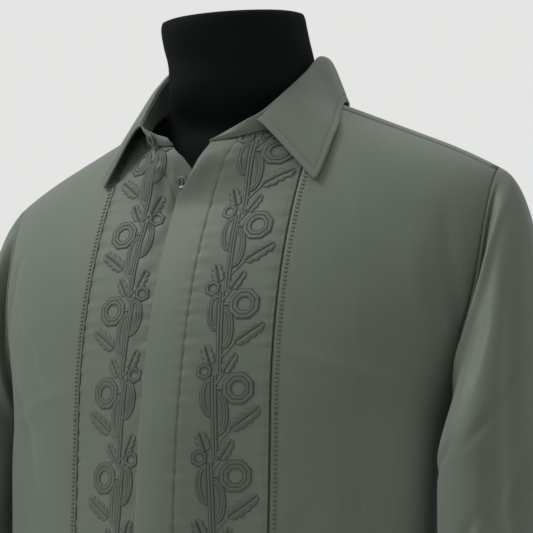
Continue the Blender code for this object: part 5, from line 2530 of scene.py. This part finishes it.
@dataclass
class Studio:
    """A pale floor, soft lights and the camera."""

    camera_place: Vector = spot(0.9659, -1.6582, 0.394)
    yaw: float = 29.78
    pitch: float = 98.23
    roll: float = 0.66
    lens: float = 157.7
    floor_size: float = 40.0
    backdrop: str = "#e5e5e4"
    ambient_low: float = 0.16
    ambient_high: float = 0.62

    def build(self) -> None:
        """Builds the stage, the lights and the camera."""
        self.floor()
        self.world()
        for lamp in LAMPS:
            self.light(lamp)
        self.camera()
        bpy.context.scene.view_settings.view_transform = "Standard"

    def floor(self) -> None:
        """The floor, just under the form."""
        bpy.ops.mesh.primitive_plane_add(size=self.floor_size, location=(0, 0, -0.0005))
        plane = bpy.context.object
        plane.name = "studio_floor"
        plane.data.materials.append(StagePaper(colour=self.backdrop).build())
        plane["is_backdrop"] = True

    def world(self) -> None:
        """A pale surround for the eye, with less light from it on the cloth."""
        world = bpy.data.worlds.new("studio")
        world.use_nodes = True
        bpy.context.scene.world = world
        tree = world.node_tree
        tree.nodes.clear()
        seen = add_node(tree, "ShaderNodeLightPath").outputs["Is Camera Ray"]
        colour = srgb(self.backdrop)
        way = add_node(tree, "ShaderNodeTexCoord").outputs["Generated"]
        height = add_node(tree, "ShaderNodeSeparateXYZ", links={"Vector": way}).outputs["Z"]
        ambient = add_node(
            tree, "ShaderNodeMapRange",
            {
                "From Min": -0.1,
                "From Max": 0.9,
                "To Min": self.ambient_low,
                "To Max": self.ambient_high,
            },
            {"Value": height},
        )
        links = {"Value": seen, "To Min": ambient.outputs[0]}
        strength = add_node(tree, "ShaderNodeMapRange", {"To Max": 1.0}, links)
        glow = add_node(
            tree, "ShaderNodeBackground", {"Color": colour}, {"Strength": strength.outputs[0]}
        )
        add_node(tree, "ShaderNodeOutputWorld", links={"Surface": glow.outputs[0]})

    def light(self, lamp: Lamp) -> None:
        """Hangs a square soft light."""
        data = bpy.data.lights.new(lamp.name, "AREA")
        data.size = lamp.size
        data.energy = lamp.power
        obj = bpy.data.objects.new(lamp.name, data)
        obj.location = lamp.place
        aim = Vector(lamp.aim) - Vector(lamp.place)
        obj.rotation_euler = aim.to_track_quat("-Z", "Y").to_euler()
        bpy.context.scene.collection.objects.link(obj)

    def camera(self) -> None:
        """The camera, at the photograph's angle."""
        data = bpy.data.cameras.new("camera")
        data.lens = self.lens
        data.clip_end = 100
        camera = bpy.data.objects.new("camera", data)
        camera.matrix_world = (
            Matrix.Translation(self.camera_place)
            @ Matrix.Rotation(math.radians(self.yaw), 4, "Z")
            @ Matrix.Rotation(math.radians(self.pitch), 4, "X")
            @ Matrix.Rotation(math.radians(self.roll), 4, "Z")
        )
        bpy.context.scene.collection.objects.link(camera)
        bpy.context.scene.camera = camera


def write_sizes() -> None:
    boxes = {"cad": CAD_BOX, "visual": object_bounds()}
    plain = {name: [list(corner) for corner in box] for name, box in boxes.items()}
    for name, (low, high) in plain.items():
        LOG.info("%s box: %s mm", name, [round((b - a) / MM, 1) for a, b in zip(low, high)])


def main() -> None:
    """Builds the dressed part, piece by piece."""
    logging.basicConfig(level=logging.INFO, format="%(name)s: %(message)s")
    wardrobe = Wardrobe()
    body = BodyShape()
    panels = {side: PanelPattern(side, body) for side in Side}
    DressForm().build(wardrobe)
    bodice = Bodice(body, panels)
    bodice.build(wardrobe)
    cuffs = []
    for side in Side:
        sleeve = Sleeve(side, body)
        sleeve.build(wardrobe)
        cuff = Cuff(sleeve)
        cuff.build(wardrobe)
        cuffs.append(cuff)
    collar = Collar(bodice)
    collar.build(wardrobe)
    Fastenings(bodice, collar, cuffs).build(wardrobe)
    for panel in panels.values():
        Embroidery(panel).build(wardrobe)
        ArrowTrim(panel).build(wardrobe)
    Seamwork().build(bodice, cuffs, collar, wardrobe)
    Studio().build()


if __name__ == "__main__":
    main()
    write_sizes()
